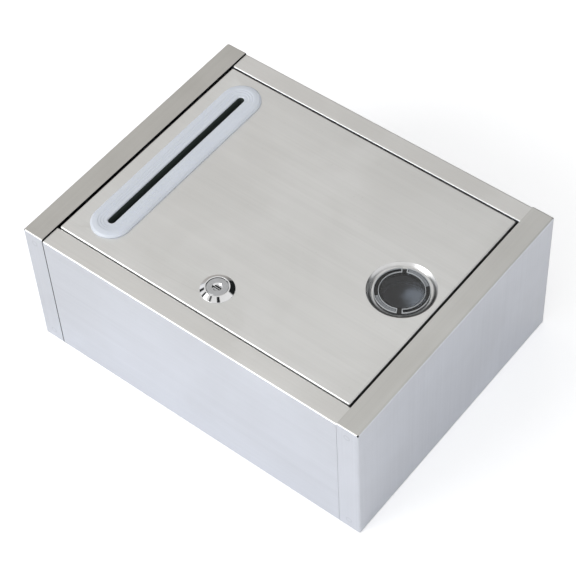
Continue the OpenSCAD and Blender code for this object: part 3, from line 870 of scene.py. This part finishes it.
class FAREBOX_OT_end_caps(bpy.types.Operator):
    """Folds the two end caps, with a small open corner where three folds meet"""
    bl_idname = "farebox.end_caps"
    bl_label = "End Caps"

    def cap(self, side):
        size = settings("fare_case")
        bm = bmesh.new()
        centre = (CAP_LOW + CAP_HIGH) / 2
        span = CAP_HIGH - CAP_LOW
        bmesh.ops.create_cube(bm, size=1.0, matrix=Matrix.Translation(centre) @ Matrix.Diagonal(
            (*span, 1.0)))
        mouth = [f for f in bm.faces if f.normal.x < -0.9]
        bmesh.ops.delete(bm, geom=mouth, context="FACES")
        folds = [e for e in bm.edges if len(e.link_faces) == 2]
        bend_edges(bm, folds, size.fold)
        bmesh.ops.recalc_face_normals(bm, faces=bm.faces[:])
        out = max(bm.faces, key=lambda f: f.calc_area())
        if out.normal.x < 0:
            bmesh.ops.reverse_faces(bm, faces=bm.faces[:])
        # how far in the middle of a rounded corner lies from the sharp one
        inset = size.fold * (1 - 1 / math.sqrt(3))
        points = [Vector((CAP_HIGH.x - inset, sy * (CAP_HIGH.y - inset), z))
                  for sy in (-1, 1) for z in (CAP_LOW.z + inset, CAP_HIGH.z - inset)]
        patch = [f for f in bm.faces
                 if any((f.calc_center_median() - p).length < size.corner_hole / 2 for p in points)]
        bmesh.ops.delete(bm, geom=patch, context="FACES")
        if side < 0:
            bmesh.ops.mirror(bm, geom=bm.verts[:] + bm.edges[:] + bm.faces[:], axis="X",
                             merge_dist=-1.0)
            extra = [v for v in bm.verts if v.co.x > 0]
            bmesh.ops.delete(bm, geom=extra, context="VERTS")
            out = max(bm.faces, key=lambda f: f.calc_area())
            if out.normal.x > 0:
                bmesh.ops.reverse_faces(bm, faces=bm.faces[:])
        name = "right" if side > 0 else "left"
        # the left cap's top takes the darker copy of the steel, as painted shade
        flange = "flange_steel" if side > 0 else "left_flange_steel"
        piece = finish_piece(bm, name + "_cap_sheet", "case", [name + "_end_cap"],
                             ["wall_steel_z", flange, "seam_shade_steel"],
                             choose=lies_flat, sheet=size.sheet, edge=size.cut_edge)
        # the caps' cut edges take the near-black seam steel, as painted shade along the seams
        piece.modifiers["Sheet"].material_offset_rim = 2

    def execute(self, context):
        for side in (-1, 1):
            self.cap(side)
        return {"FINISHED"}


class FAREBOX_OT_hinges(bpy.types.Operator):
    """Finishes the hinge brackets, bushes, pins, spacers and clips"""
    bl_idname = "farebox.hinges"
    bl_label = "Hinges"

    def execute(self, context):
        for side in ("left", "right"):
            dress(side + "_hinge_bracket", "strip_steel")
            dress(side + "_hinge_bush", "pale_nylon")
            dress(side + "_hinge_pin", "zinc_plate")
            dress(side + "_pin_spacer", "black_nylon")
            dress(side + "_pin_clip", "dark_spring_and_keyway_shade")
        return {"FINISHED"}


# ---- lid ----

class FAREBOX_OT_lid(bpy.types.Operator):
    """Makes the lid: a flat panel with folded skirts, its holes, and the dish round the window"""
    bl_idname = "farebox.lid"
    bl_label = "Lid"

    margin = 3.0 * MM

    def execute(self, context):
        size = settings("fare_lid")
        slot = settings("fare_slot")
        case = settings("fare_case")
        bm = bmesh.new()
        low = Vector((LID_LOW.x + self.margin, LID_LOW.y + self.margin, LID_TOP))
        high = Vector((LID_HIGH.x - self.margin, LID_HIGH.y - self.margin, LID_TOP))
        _, border = place_rectangle(bm, low, high)
        dish = self.dish_section()
        _, window = place_circle(bm, (LENS_AT.x, LENS_AT.y, LID_TOP), dish[0][0])
        _, slot_hole = place_slot(bm, (SLOT_AT.x, SLOT_AT.y, LID_TOP), size.slot_hole, slot.half)
        _, lock_hole = place_circle(bm, (LOCK_AT.x, LOCK_AT.y, LID_TOP), size.lock_hole, 48)
        bmesh.ops.triangle_fill(bm, edges=[*border, *window, *slot_hole, *lock_hole],
                                use_beauty=True, normal=(0, 0, 1))
        made = bmesh.ops.extrude_edge_only(bm, edges=border)["geom"]
        for vert in flatten(made, bmesh.types.BMVert):
            outward = Vector((math.copysign(self.margin, vert.co.x - (low.x + high.x) / 2),
                              math.copysign(self.margin, vert.co.y - (low.y + high.y) / 2), 0))
            bmesh.ops.translate(bm, verts=[vert], vec=outward)
        folds = flatten(made, bmesh.types.BMEdge)
        rim = pull_edges(bm, folds, (0, 0, LID_LOW.z - LID_TOP))
        hems = {e for v in {v for e in rim for v in e.verts} for e in v.link_edges}
        uprights = [e for e in hems if abs(e.verts[0].co.z - e.verts[1].co.z) > size.fold]
        bend_edges(bm, folds + uprights, size.fold)
        self.press_dish(bm, window, dish)
        point_sheet(bm, LID_TOP, up=True)
        dish_edge = size.dish + 0.2 * MM

        def finish_of(face):
            away = (face.calc_center_median().xy - LENS_AT.xy).length
            return int(away < dish_edge)

        piece = finish_piece(bm, "lid_sheet", "lid", ["lid_panel"],
                             ["lid_steel", "dish_polish", "strip_steel"], choose=finish_of,
                             sheet=case.sheet)
        piece.modifiers["Sheet"].material_offset = 2
        return {"FINISHED"}

    def dish_section(self):
        """The dish's section from the panel inwards, as radius and height."""
        size = settings("fare_lid")
        floor = GASKET_LOW.z
        panel = (size.dish + 2 * MM, LID_TOP)
        wall = [(size.dish, LID_TOP), (size.dish_floor, floor), (size.window_hole, floor)]
        return rounded([panel, *wall], [0, size.dish_fold, size.dish_sweep, 0], 8)[1:]

    def press_dish(self, bm, window, section):
        """Draws the window loop down in a crisp fold and a smooth wall, then in to the lens hole."""
        loop = window
        radius, height = section[0]
        for next_radius, next_height in section[1:]:
            loop = pull_loop(bm, loop, LENS_AT, next_radius / radius, height - next_height)
            radius, height = next_radius, next_height


# ---- slot ----

class FAREBOX_OT_slot_bezel(bpy.types.Operator):
    """Lofts the moulded bezel round the slot, with fine steps running down to the slot"""
    bl_idname = "farebox.slot_bezel"
    bl_label = "Slot Bezel"

    def execute(self, context):
        size = settings("fare_slot")
        flange = (BEZEL_HIGH.x - BEZEL_LOW.x) / 2
        crown = BEZEL_HIGH.z
        neck_in = size.liner + 1.3 * MM
        neck_out = neck_in + 1.7 * MM
        inside_lip = LID_TOP + 0.8 * MM
        step_count, riser = 3, 0.3 * MM
        steps_from, steps_to = size.slot + 1.2 * MM, flange - 4.6 * MM
        pace = (steps_to - steps_from) / step_count
        outline = [(neck_in, BEZEL_LOW.z), (neck_out, BEZEL_LOW.z), (neck_out, LID_TOP),
                   (flange, LID_TOP), (flange, LID_TOP + 0.9 * MM),
                   (flange - 1.1 * MM, crown - 0.35 * MM), (flange - 3.4 * MM, crown)]
        radii = [0.2 * MM, 0.2 * MM, 0.0, 0.1 * MM, 0.5 * MM, 1.2 * MM, 3.0 * MM]
        for i in range(step_count):
            edge = steps_to - i * pace
            height = crown - i * size.step
            outline += [(edge, height), (edge - riser, height - size.step)]
            radii += [0.12 * MM, 0.12 * MM]
        foot = crown - step_count * size.step
        outline += [(size.slot + 0.5 * MM, foot), (size.slot, foot - 0.6 * MM),
                    (size.slot, inside_lip), (neck_in, inside_lip)]
        radii += [0.3 * MM, 0.3 * MM, 0.1 * MM, 0.0]
        bm = bmesh.new()
        sweep_slot(bm, rounded(outline, radii, 4), SLOT_AT, size.half)
        boss_top = LID_TOP + 0.1 * MM
        for side in (-1, 1):
            boss = (SLOT_AT.x, SLOT_AT.y + side * (SEAL_HIGH.y - SLOT_AT.y - size.boss_in), 0)
            section = [(size.screw, BEZEL_LOW.z), (size.boss, BEZEL_LOW.z),
                       (size.boss, boss_top), (size.screw, boss_top)]
            turn_outline(bm, rounded(section, [0.1 * MM, 0.2 * MM, 0, 0], 3), boss, steps=32)
        face_out(bm)
        finish_piece(bm, "bezel_moulding", "lid", ["slot_bezel"], ["white_bezel"])
        return {"FINISHED"}


class FAREBOX_OT_slot_throat(bpy.types.Operator):
    """Lofts the dark liner and its clamping frame, and finishes the seal, screws and baffle"""
    bl_idname = "farebox.slot_throat"
    bl_label = "Slot Throat"

    def execute(self, context):
        size = settings("fare_slot")
        liner_out = size.liner + size.wall
        frame_top = SEAL_LOW.z
        frame_low = frame_top - size.frame_sheet
        mouth = size.liner + 0.5 * MM
        bm = bmesh.new()
        liner = [(size.liner, THROAT_LOW.z), (liner_out, THROAT_LOW.z),
                 (liner_out, THROAT_HIGH.z), (mouth, THROAT_HIGH.z),
                 (size.liner, THROAT_HIGH.z - 0.5 * MM)]
        sweep_slot(bm, rounded(liner, [0.3 * MM, 0.3 * MM, 0.1 * MM, 0.1 * MM, 0.3 * MM], 3),
                   SLOT_AT, size.half)
        self.clamp(bm, frame_low, frame_top)
        face_out(bm)
        finish_piece(bm, "throat_moulding", "lid", ["slot_throat"], ["dark_throat"],
                     edge=0.15 * MM)
        dress("slot_seal", "black_rubber")
        dress("slot_screws", "zinc_plate")
        dress("slot_baffle", "strip_steel")
        return {"FINISHED"}

    def clamp(self, bm, low, high):
        """The clamping frame: a plate with the liner's hole and two screw holes."""
        size = settings("fare_slot")
        end = THROAT_HIGH.y - SLOT_AT.y - size.frame
        _, outer = place_slot(bm, (SLOT_AT.x, SLOT_AT.y, low), size.frame, end)
        _, inner = place_slot(bm, (SLOT_AT.x, SLOT_AT.y, low), size.liner + size.wall, size.half)
        rims = [*outer, *inner]
        for side in (-1, 1):
            at = (SLOT_AT.x, side * (SEAL_HIGH.y - SLOT_AT.y - size.boss_in), low)
            rims += place_circle(bm, at, size.screw + 0.15 * MM, 32)[1]
        made = bmesh.ops.triangle_fill(bm, edges=rims, use_beauty=True, normal=(0, 0, -1))
        plate = [*flatten(made["geom"], bmesh.types.BMFace)]
        raised = bmesh.ops.extrude_face_region(bm, geom=plate, use_keep_orig=True)["geom"]
        bmesh.ops.translate(bm, verts=flatten(raised, bmesh.types.BMVert), vec=(0, 0, high - low))


# ---- window ----

class FAREBOX_OT_window(bpy.types.Operator):
    """Turns the clear lens with its two notched rims and frosted grip pads"""
    bl_idname = "farebox.window"
    bl_label = "Window"

    def rims(self, bm, outline, reach):
        """Two arcs of a rim, with a gap at each notch as wide at any radius."""
        size = settings("fare_window")
        gap = 2 * math.asin(size.notch / 2 / reach)
        for side in (0, 1):
            turn_outline(bm, outline, LENS_AT, steps=ROUND_STEPS // 2, sweep=math.pi - gap,
                         start=size.notch_turn + gap / 2 + side * math.pi)

    def execute(self, context):
        size = settings("fare_window")
        outer = (LENS_HIGH.x - LENS_LOW.x) / 2
        seat, rim = GASKET_HIGH.z, LENS_HIGH.z
        floor = rim - size.rim_height
        disc = rim - 0.7 * MM
        back = seat - 0.6 * MM
        inner_neck = size.neck - size.neck_wall
        bm = bmesh.new()
        body = [(0.0, back), (inner_neck, back), (inner_neck, LENS_LOW.z),
                (size.neck, LENS_LOW.z), (size.neck, seat), (outer, seat), (outer, floor),
                (size.clear, floor), (size.clear - 0.3 * MM, disc), (0.0, disc)]
        radii = [0, 0.2 * MM, 0.1 * MM, 0.1 * MM, 0, 0.1 * MM, 0.15 * MM, 0, 0.1 * MM, 0]
        turn_outline(bm, rounded(body, radii, 3), LENS_AT)
        face_out(bm)
        finish_piece(bm, "lens_moulding", "lid", ["window_lens"], ["clear_plastic"])
        self.ring(outer, floor, rim)
        self.pads(outer, floor)
        dress("window_gasket", "black_rubber")
        dress("window_slip_washer", "pale_nylon")
        dress("window_ring_nut", "black_nylon")
        return {"FINISHED"}

    def ring(self, outer, floor, rim):
        """The lens's two raised rims and the cheeks that join them at each notch."""
        size = settings("fare_window")
        sink = 0.02 * MM
        outer_rim = [(outer - 0.5 * MM, floor - sink), (outer - 0.02 * MM, floor - sink),
                     (outer - 0.05 * MM, rim), (outer - 0.4 * MM, rim)]
        inner_rim = [(size.clear + 0.02 * MM, floor - sink), (size.clear + 0.5 * MM, floor - sink),
                     (size.clear + 0.4 * MM, rim), (size.clear + 0.1 * MM, rim)]
        bm = bmesh.new()
        for shape in (outer_rim, inner_rim):
            self.rims(bm, rounded(shape, 0.15 * MM, 4), (shape[0][0] + shape[1][0]) / 2)
        near, far, top = size.clear + 0.4 * MM, outer - 0.4 * MM, rim - 0.08 * MM
        cheek = rounded([(near, floor - sink), (far, floor - sink), (far, top), (near, top)],
                        [0, 0, 0.15 * MM, 0.15 * MM], 3)
        reach = (near + far) / 2
        wide = size.cheek / reach
        for side in (0, 1):
            for hand in (-1, 1):
                off = hand * (size.notch + size.cheek) / 2 / reach
                start = size.notch_turn + side * math.pi + off - wide / 2
                turn_outline(bm, cheek, LENS_AT, steps=3, sweep=wide, start=start)
        face_out(bm)
        # the rims take the pale finish as a painted highlight
        finish_piece(bm, "lens_rims", "lid", [], ["painted_rim_highlight"])

    def pads(self, outer, floor):
        """Frosted pads with plain grip ribs, in the channel between the rims, one on each side."""
        size = settings("fare_window")
        near, far = size.clear + 0.75 * MM, outer - 0.8 * MM
        inner, outside = near + 0.1 * MM, far - 0.1 * MM
        sweep = size.pad_sweep
        base, top = floor - 0.01 * MM, floor + 0.35 * MM
        foot, crest = top - 0.02 * MM, top + 0.3 * MM
        radii = [0, 0, 0.1 * MM, 0.1 * MM]
        bm = bmesh.new()
        pad = rounded([(near, base), (far, base), (far, top), (near, top)], radii, 2)
        rib = rounded([(inner, foot), (outside, foot), (outside, crest), (inner, crest)], radii, 2)
        for side in (0, 1):
            start = size.notch_turn - size.pad_gap - sweep + side * math.pi
            turn_outline(bm, pad, LENS_AT, steps=24, sweep=sweep, start=start)
            for i in range(size.rib_count):
                at = start + sweep * (i + 0.5) / size.rib_count
                turn_outline(bm, rib, LENS_AT, steps=3, sweep=size.rib_sweep, start=at)
        face_out(bm)
        finish_piece(bm, "lens_grip_pads", "lid", [], ["frosted_plastic"])


# ---- lock ----

class FAREBOX_OT_lock(bpy.types.Operator):
    """Turns the lock's chrome cone and threaded barrel, and finishes its washer and nut"""
    bl_idname = "farebox.lock"
    bl_label = "Lock Housing"

    def execute(self, context):
        size = settings("fare_lock")
        top, base = HOUSING_HIGH.z, HOUSING_LOW.z
        barrel_bore = 5.6 * MM
        root = size.barrel - 0.5 * MM
        neck = size.barrel - 0.05 * MM
        bore = size.bore + 0.25 * MM
        shelf = PLUG_HIGH.z - 1.7 * MM
        outline = [(barrel_bore, base), (root, base)]
        radii = [0.15 * MM, 0.2 * MM]
        turns = int((LID_TOP - 1.5 * MM - base) / size.thread)
        for i in range(turns):
            z = base + 0.5 * MM + i * size.thread
            outline += [(root, z), (size.barrel, z + 0.35 * size.thread),
                        (size.barrel, z + 0.5 * size.thread), (root, z + 0.85 * size.thread)]
            radii += [0, 0, 0, 0]
        outline += [(neck, LID_TOP - 0.9 * MM), (neck, LID_TOP), (size.head, LID_TOP),
                    (size.head, LID_TOP + 0.35 * MM), (size.face, top), (bore, top),
                    (bore, shelf), (barrel_bore, shelf)]
        radii += [0, 0, 0.05 * MM, 0.25 * MM, 0.3 * MM, 0.12 * MM, 0, 0]
        bm = bmesh.new()
        turn_outline(bm, rounded(outline, radii, 4), LOCK_AT)
        face_out(bm)
        finish_piece(bm, "lock_cone", "lid", ["lock_housing"], ["chrome_plate"])
        dress("lock_washer", "zinc_plate")
        dress("lock_nut", "yellow_brass")
        return {"FINISHED"}


class FAREBOX_OT_lock_plug(bpy.types.Operator):
    """Makes the plug's face with its dimple and keyway in place of the plug and its wafers, and
    finishes the cam, its washer and screw
    """
    bl_idname = "farebox.lock_plug"
    bl_label = "Lock Plug"

    def execute(self, context):
        size = settings("fare_lock")
        face = PLUG_HIGH.z
        centre = Vector((LOCK_AT.x, LOCK_AT.y, face))
        floor = PLUG_LOW.z + size.well_floor
        ward_top = face - 1.1 * MM
        neck, shoulder = 5.5 * MM, 1.6 * MM
        bm = bmesh.new()
        _, rim = place_circle(bm, centre, size.bore - size.plug_edge)
        radius, depth, loop = size.bore - size.plug_edge, 0.0, rim
        for scale, drop in ((1.0, 0.0), (0.93, 0.15), (0.80, 0.6), (0.72, 0.8)):
            loop = pull_loop(bm, loop, centre, size.dimple * scale / radius, drop * MM - depth)
            radius, depth = size.dimple * scale, drop * MM
        _, key = place_circle(bm, centre - Vector((0, 0, depth)), size.key_width / 2, 32)
        stretch = size.key_length / 2 - size.key_width / 2
        ends = {v for e in key for v in e.verts}
        for side in (-1, 1):
            half = [v for v in ends if (v.co.x - centre.x) * side > 0]
            bmesh.ops.translate(bm, verts=half, vec=(side * stretch, 0, 0))
        bmesh.ops.triangle_fill(bm, edges=[*loop, *key], use_beauty=True, normal=(0, 0, 1))
        well = pull_edges(bm, key, (0, 0, floor - face + depth))
        bmesh.ops.triangle_fill(bm, edges=well, use_beauty=True, normal=(0, 0, 1))
        radius, depth, loop = size.bore - size.plug_edge, 0.0, rim
        for wall, drop in ((size.bore, size.plug_edge), (size.bore, shoulder), (neck, shoulder),
                           (neck, face - CAM_HIGH.z)):
            loop = pull_loop(bm, loop, centre, wall / radius, drop - depth)
            radius, depth = wall, drop
        bmesh.ops.triangle_fill(bm, edges=loop, use_beauty=True, normal=(0, 0, -1))
        self.bar(bm, centre, size.key_length - size.key_width / 2, size.ward, floor, ward_top)
        self.bar(bm, centre, size.tail, size.tail, CAM_LOW.z, CAM_HIGH.z)
        face_out(bm)

        def finish_of(part):
            """The dimple's wall is polished, and the keyway's inside gets the dark spring steel as
            painted shade.
            """
            at = part.calc_center_median()
            away = (at.xy - centre.xy).length
            if away > size.dimple or at.z < floor - 0.1 * MM:
                return 0
            if 0.2 < part.normal.z < 0.999:
                return 1
            return 2 if at.z < ward_top - 0.01 * MM else 0

        finish_piece(bm, "plug_core", "lock_plug", ["lock_plug", "lock_wafers"],
                     ["plug_face", "chrome_plate", "dark_spring_and_keyway_shade"], choose=finish_of)
        dress("lock_cam", "zinc_plate")
        dress("cam_washer", "zinc_plate")
        dress("cam_screw", "zinc_plate")
        return {"FINISHED"}

    def bar(self, bm, centre, length, width, low, high):
        """A square bar on the plug's axis: the tail under the cam, or the keyway's ward."""
        middle = Vector((centre.x, centre.y, (low + high) / 2))
        bmesh.ops.create_cube(bm, size=1.0, matrix=Matrix.Translation(middle) @ Matrix.Diagonal(
            (length, width, high - low, 1.0)))


# ---- stage ----

class FAREBOX_OT_stage(bpy.types.Operator):
    """Lays the floor and sets the soft light and the camera"""
    bl_idname = "farebox.stage"
    bl_label = "Stage"

    # azimuth, elevation, and the radii where a patch is full and where it ends, in degrees
    gaps = ((82, 14, 34, 43), (209, 37, 8, 11), (183, 20, 6, 10), (249, 54, 6, 8),
            (311, 62, 6, 9))
    windows = ((320, 8, 10, 30),)
    shades = ((140, 16, 10, 36),)
    glints = ((124.75, 52.2, 0.05, 0.5),)

    low_sky = (0.86, 0.87, 0.90)
    middle_sky = (0.80, 0.80, 0.80)
    high_sky = (0.72, 0.72, 0.71)
    dark = (0.012, 0.014, 0.014)
    bright = (1.0, 1.0, 1.0)
    shade = (0.42, 0.395, 0.37)
    glint = (2.6, 2.9, 3.3)
    backdrop = (0.97, 0.97, 0.98)

    lamp_size = (1.3, 0.8)    # in metres

    def execute(self, context):
        self.lay_floor(context.scene)
        self.set_sky(context.scene)
        self.set_lights(context.scene)
        self.set_camera(context.scene)
        context.scene.view_settings.view_transform = "Standard"
        return {"FINISHED"}

    def lay_floor(self, scene):
        """A wide floor, left open under the box so that the underside gets light too."""
        reach, under, drop = 4.0, 2.0 * MM, 0.02 * MM
        foot = Vector((CAP_HIGH.x - under, CAP_HIGH.y - under, 0))
        bm = bmesh.new()
        _, edge = place_rectangle(bm, (-reach, -reach, -drop), (reach, reach, -drop))
        _, hole = place_rectangle(bm, (-foot.x, -foot.y, -drop), (foot.x, foot.y, -drop))
        bmesh.ops.triangle_fill(bm, edges=[*edge, *hole], use_beauty=True, normal=(0, 0, 1))
        mesh = bpy.data.meshes.new("floor")
        bm.to_mesh(mesh)
        bm.free()
        floor = bpy.data.objects.new("floor", mesh)
        scene.collection.objects.link(floor)
        paper, tree, shader = new_material("paper")
        tone = use_group(tree, "Clouded Tone", Colour=(*settings("fare_stage").floor, 1.0),
                         Scale=3.0, Strength=0.05)
        tree.links.new(tone.outputs["Colour"], shader.inputs["Base Color"])
        shader.inputs["Roughness"].default_value = 0.9
        glow = add(tree, "Emission", Strength=settings("fare_stage").backlight)
        both = add(tree, "AddShader")
        seen = add(tree, "MixShader")
        path = add(tree, "LightPath")
        tree.links.new(shader.outputs[0], both.inputs[0])
        tree.links.new(glow.outputs[0], both.inputs[1])
        tree.links.new(path.outputs["Is Camera Ray"], seen.inputs[0])
        tree.links.new(shader.outputs[0], seen.inputs[1])
        tree.links.new(both.outputs[0], seen.inputs[2])
        tree.links.new(seen.outputs[0], tree.nodes["Material Output"].inputs["Surface"])
        mesh.materials.append(paper)

    def set_sky(self, scene):
        """Soft light from all round, with dark gaps, a bright window, a shade and a glint in it."""
        world = bpy.data.worlds.new("studio")
        scene.world = world
        world.use_nodes = True
        tree = world.node_tree
        back = tree.nodes["Background"]
        place = add(tree, "TexCoord")
        aim = place.outputs["Generated"]
        parts = add(tree, "SeparateXYZ")
        tree.links.new(aim, parts.inputs[0])
        ramp = add(tree, "ValToRGB")
        low, high = ramp.color_ramp.elements
        low.color = (*self.low_sky, 1.0)
        high.color = (*self.high_sky, 1.0)
        ramp.color_ramp.elements.new(0.55).color = (*self.middle_sky, 1.0)
        tree.links.new(parts.outputs["Z"], ramp.inputs[0])
        sky = ramp.outputs[0]
        for patches, tone in ((self.gaps, self.dark), (self.windows, self.bright),
                              (self.shades, self.shade), (self.glints, self.glint)):
            for azimuth, elevation, inner, outer in patches:
                mask = self.patch(tree, aim, azimuth, elevation, inner, outer)
                sky = mix_colours(tree, mask, sky, tone)
        seen = mix_colours(tree, 0.0, sky, self.backdrop)
        path = add(tree, "LightPath")
        tree.links.new(path.outputs["Is Camera Ray"], seen.node.inputs[0])
        tree.links.new(seen, back.inputs["Color"])
        back.inputs["Strength"].default_value = settings("fare_stage").sky

    def patch(self, tree, aim, azimuth, elevation, inner, outer):
        """A soft round patch of sky, from angles in degrees; gives its mask."""
        turn, rise = math.radians(azimuth), math.radians(elevation)
        towards = add(tree, "VectorMath", operation="DOT_PRODUCT")
        tree.links.new(aim, towards.inputs[0])
        towards.inputs[1].default_value = (math.cos(turn) * math.cos(rise),
                                           math.sin(turn) * math.cos(rise), math.sin(rise))
        return remap(tree, towards.outputs["Value"], math.cos(math.radians(outer)),
                     math.cos(math.radians(inner)))

    def set_lights(self, scene):
        """One soft lamp in front, to the left, that lights the folds and the floor."""
        look = settings("fare_stage")
        place = Vector(look.key_place)
        lamp = bpy.data.lights.new("key_lamp", "AREA")
        lamp.shape = "RECTANGLE"
        lamp.size, lamp.size_y = self.lamp_size
        lamp.energy = look.key_power
        light = bpy.data.objects.new("key_lamp", lamp)
        light.location = place
        aim = (Vector((0, 0, SHELL_HIGH.z / 2)) - place).to_track_quat("-Z", "Y")
        light.rotation_euler = aim.to_euler()
        scene.collection.objects.link(light)

    def set_camera(self, scene):
        look = settings("fare_stage")
        ahead = Vector((-math.sin(look.azimuth) * math.cos(look.elevation),
                        math.cos(look.azimuth) * math.cos(look.elevation),
                        -math.sin(look.elevation)))
        level = Vector((math.cos(look.azimuth), math.sin(look.azimuth), 0))
        raised = level.cross(ahead)
        right = level * math.cos(look.roll) + raised * math.sin(look.roll)
        up = raised * math.cos(look.roll) - level * math.sin(look.roll)
        turn = Matrix((right, up, -ahead)).transposed()
        lens = bpy.data.cameras.new("camera")
        lens.lens = look.lens
        lens.clip_start = 0.01
        camera = bpy.data.objects.new("camera", lens)
        camera.matrix_world = Matrix.Translation(look.eye) @ turn.to_4x4()
        scene.collection.objects.link(camera)
        scene.camera = camera


PIECE_OPERATORS = [FAREBOX_OT_shell, FAREBOX_OT_end_caps, FAREBOX_OT_hinges, FAREBOX_OT_lid,
                   FAREBOX_OT_slot_bezel, FAREBOX_OT_slot_throat, FAREBOX_OT_window,
                   FAREBOX_OT_lock, FAREBOX_OT_lock_plug]


class FAREBOX_PT_panel(bpy.types.Panel):
    """Lists the fare box's pieces and their settings"""
    bl_idname = "FAREBOX_PT_panel"
    bl_label = "Fare Box"
    bl_space_type = "VIEW_3D"
    bl_region_type = "UI"
    bl_category = "Fare Box"

    def draw(self, context):
        for name, group in SETTINGS.items():
            box = self.layout.box()
            box.label(text=group.__name__.replace("FareBox", ""))
            for key in group.__annotations__:
                box.prop(getattr(context.scene, name), key)
        for operator in [*PIECE_OPERATORS, FAREBOX_OT_stage]:
            self.layout.operator(operator.bl_idname)


def classes():
    return [*SETTINGS.values(), *PIECE_OPERATORS, FAREBOX_OT_stage, FAREBOX_PT_panel]


def register():
    for entry in classes():
        bpy.utils.register_class(entry)
    for name, group in SETTINGS.items():
        setattr(bpy.types.Scene, name, bpy.props.PointerProperty(type=group))


def unregister():
    for name in SETTINGS:
        delattr(bpy.types.Scene, name)
    for entry in reversed(classes()):
        bpy.utils.unregister_class(entry)


def main():
    register()
    for operator in [*PIECE_OPERATORS, FAREBOX_OT_stage]:
        getattr(bpy.ops.farebox, operator.bl_idname.split(".")[1])()


if __name__ == "__main__":
    main()
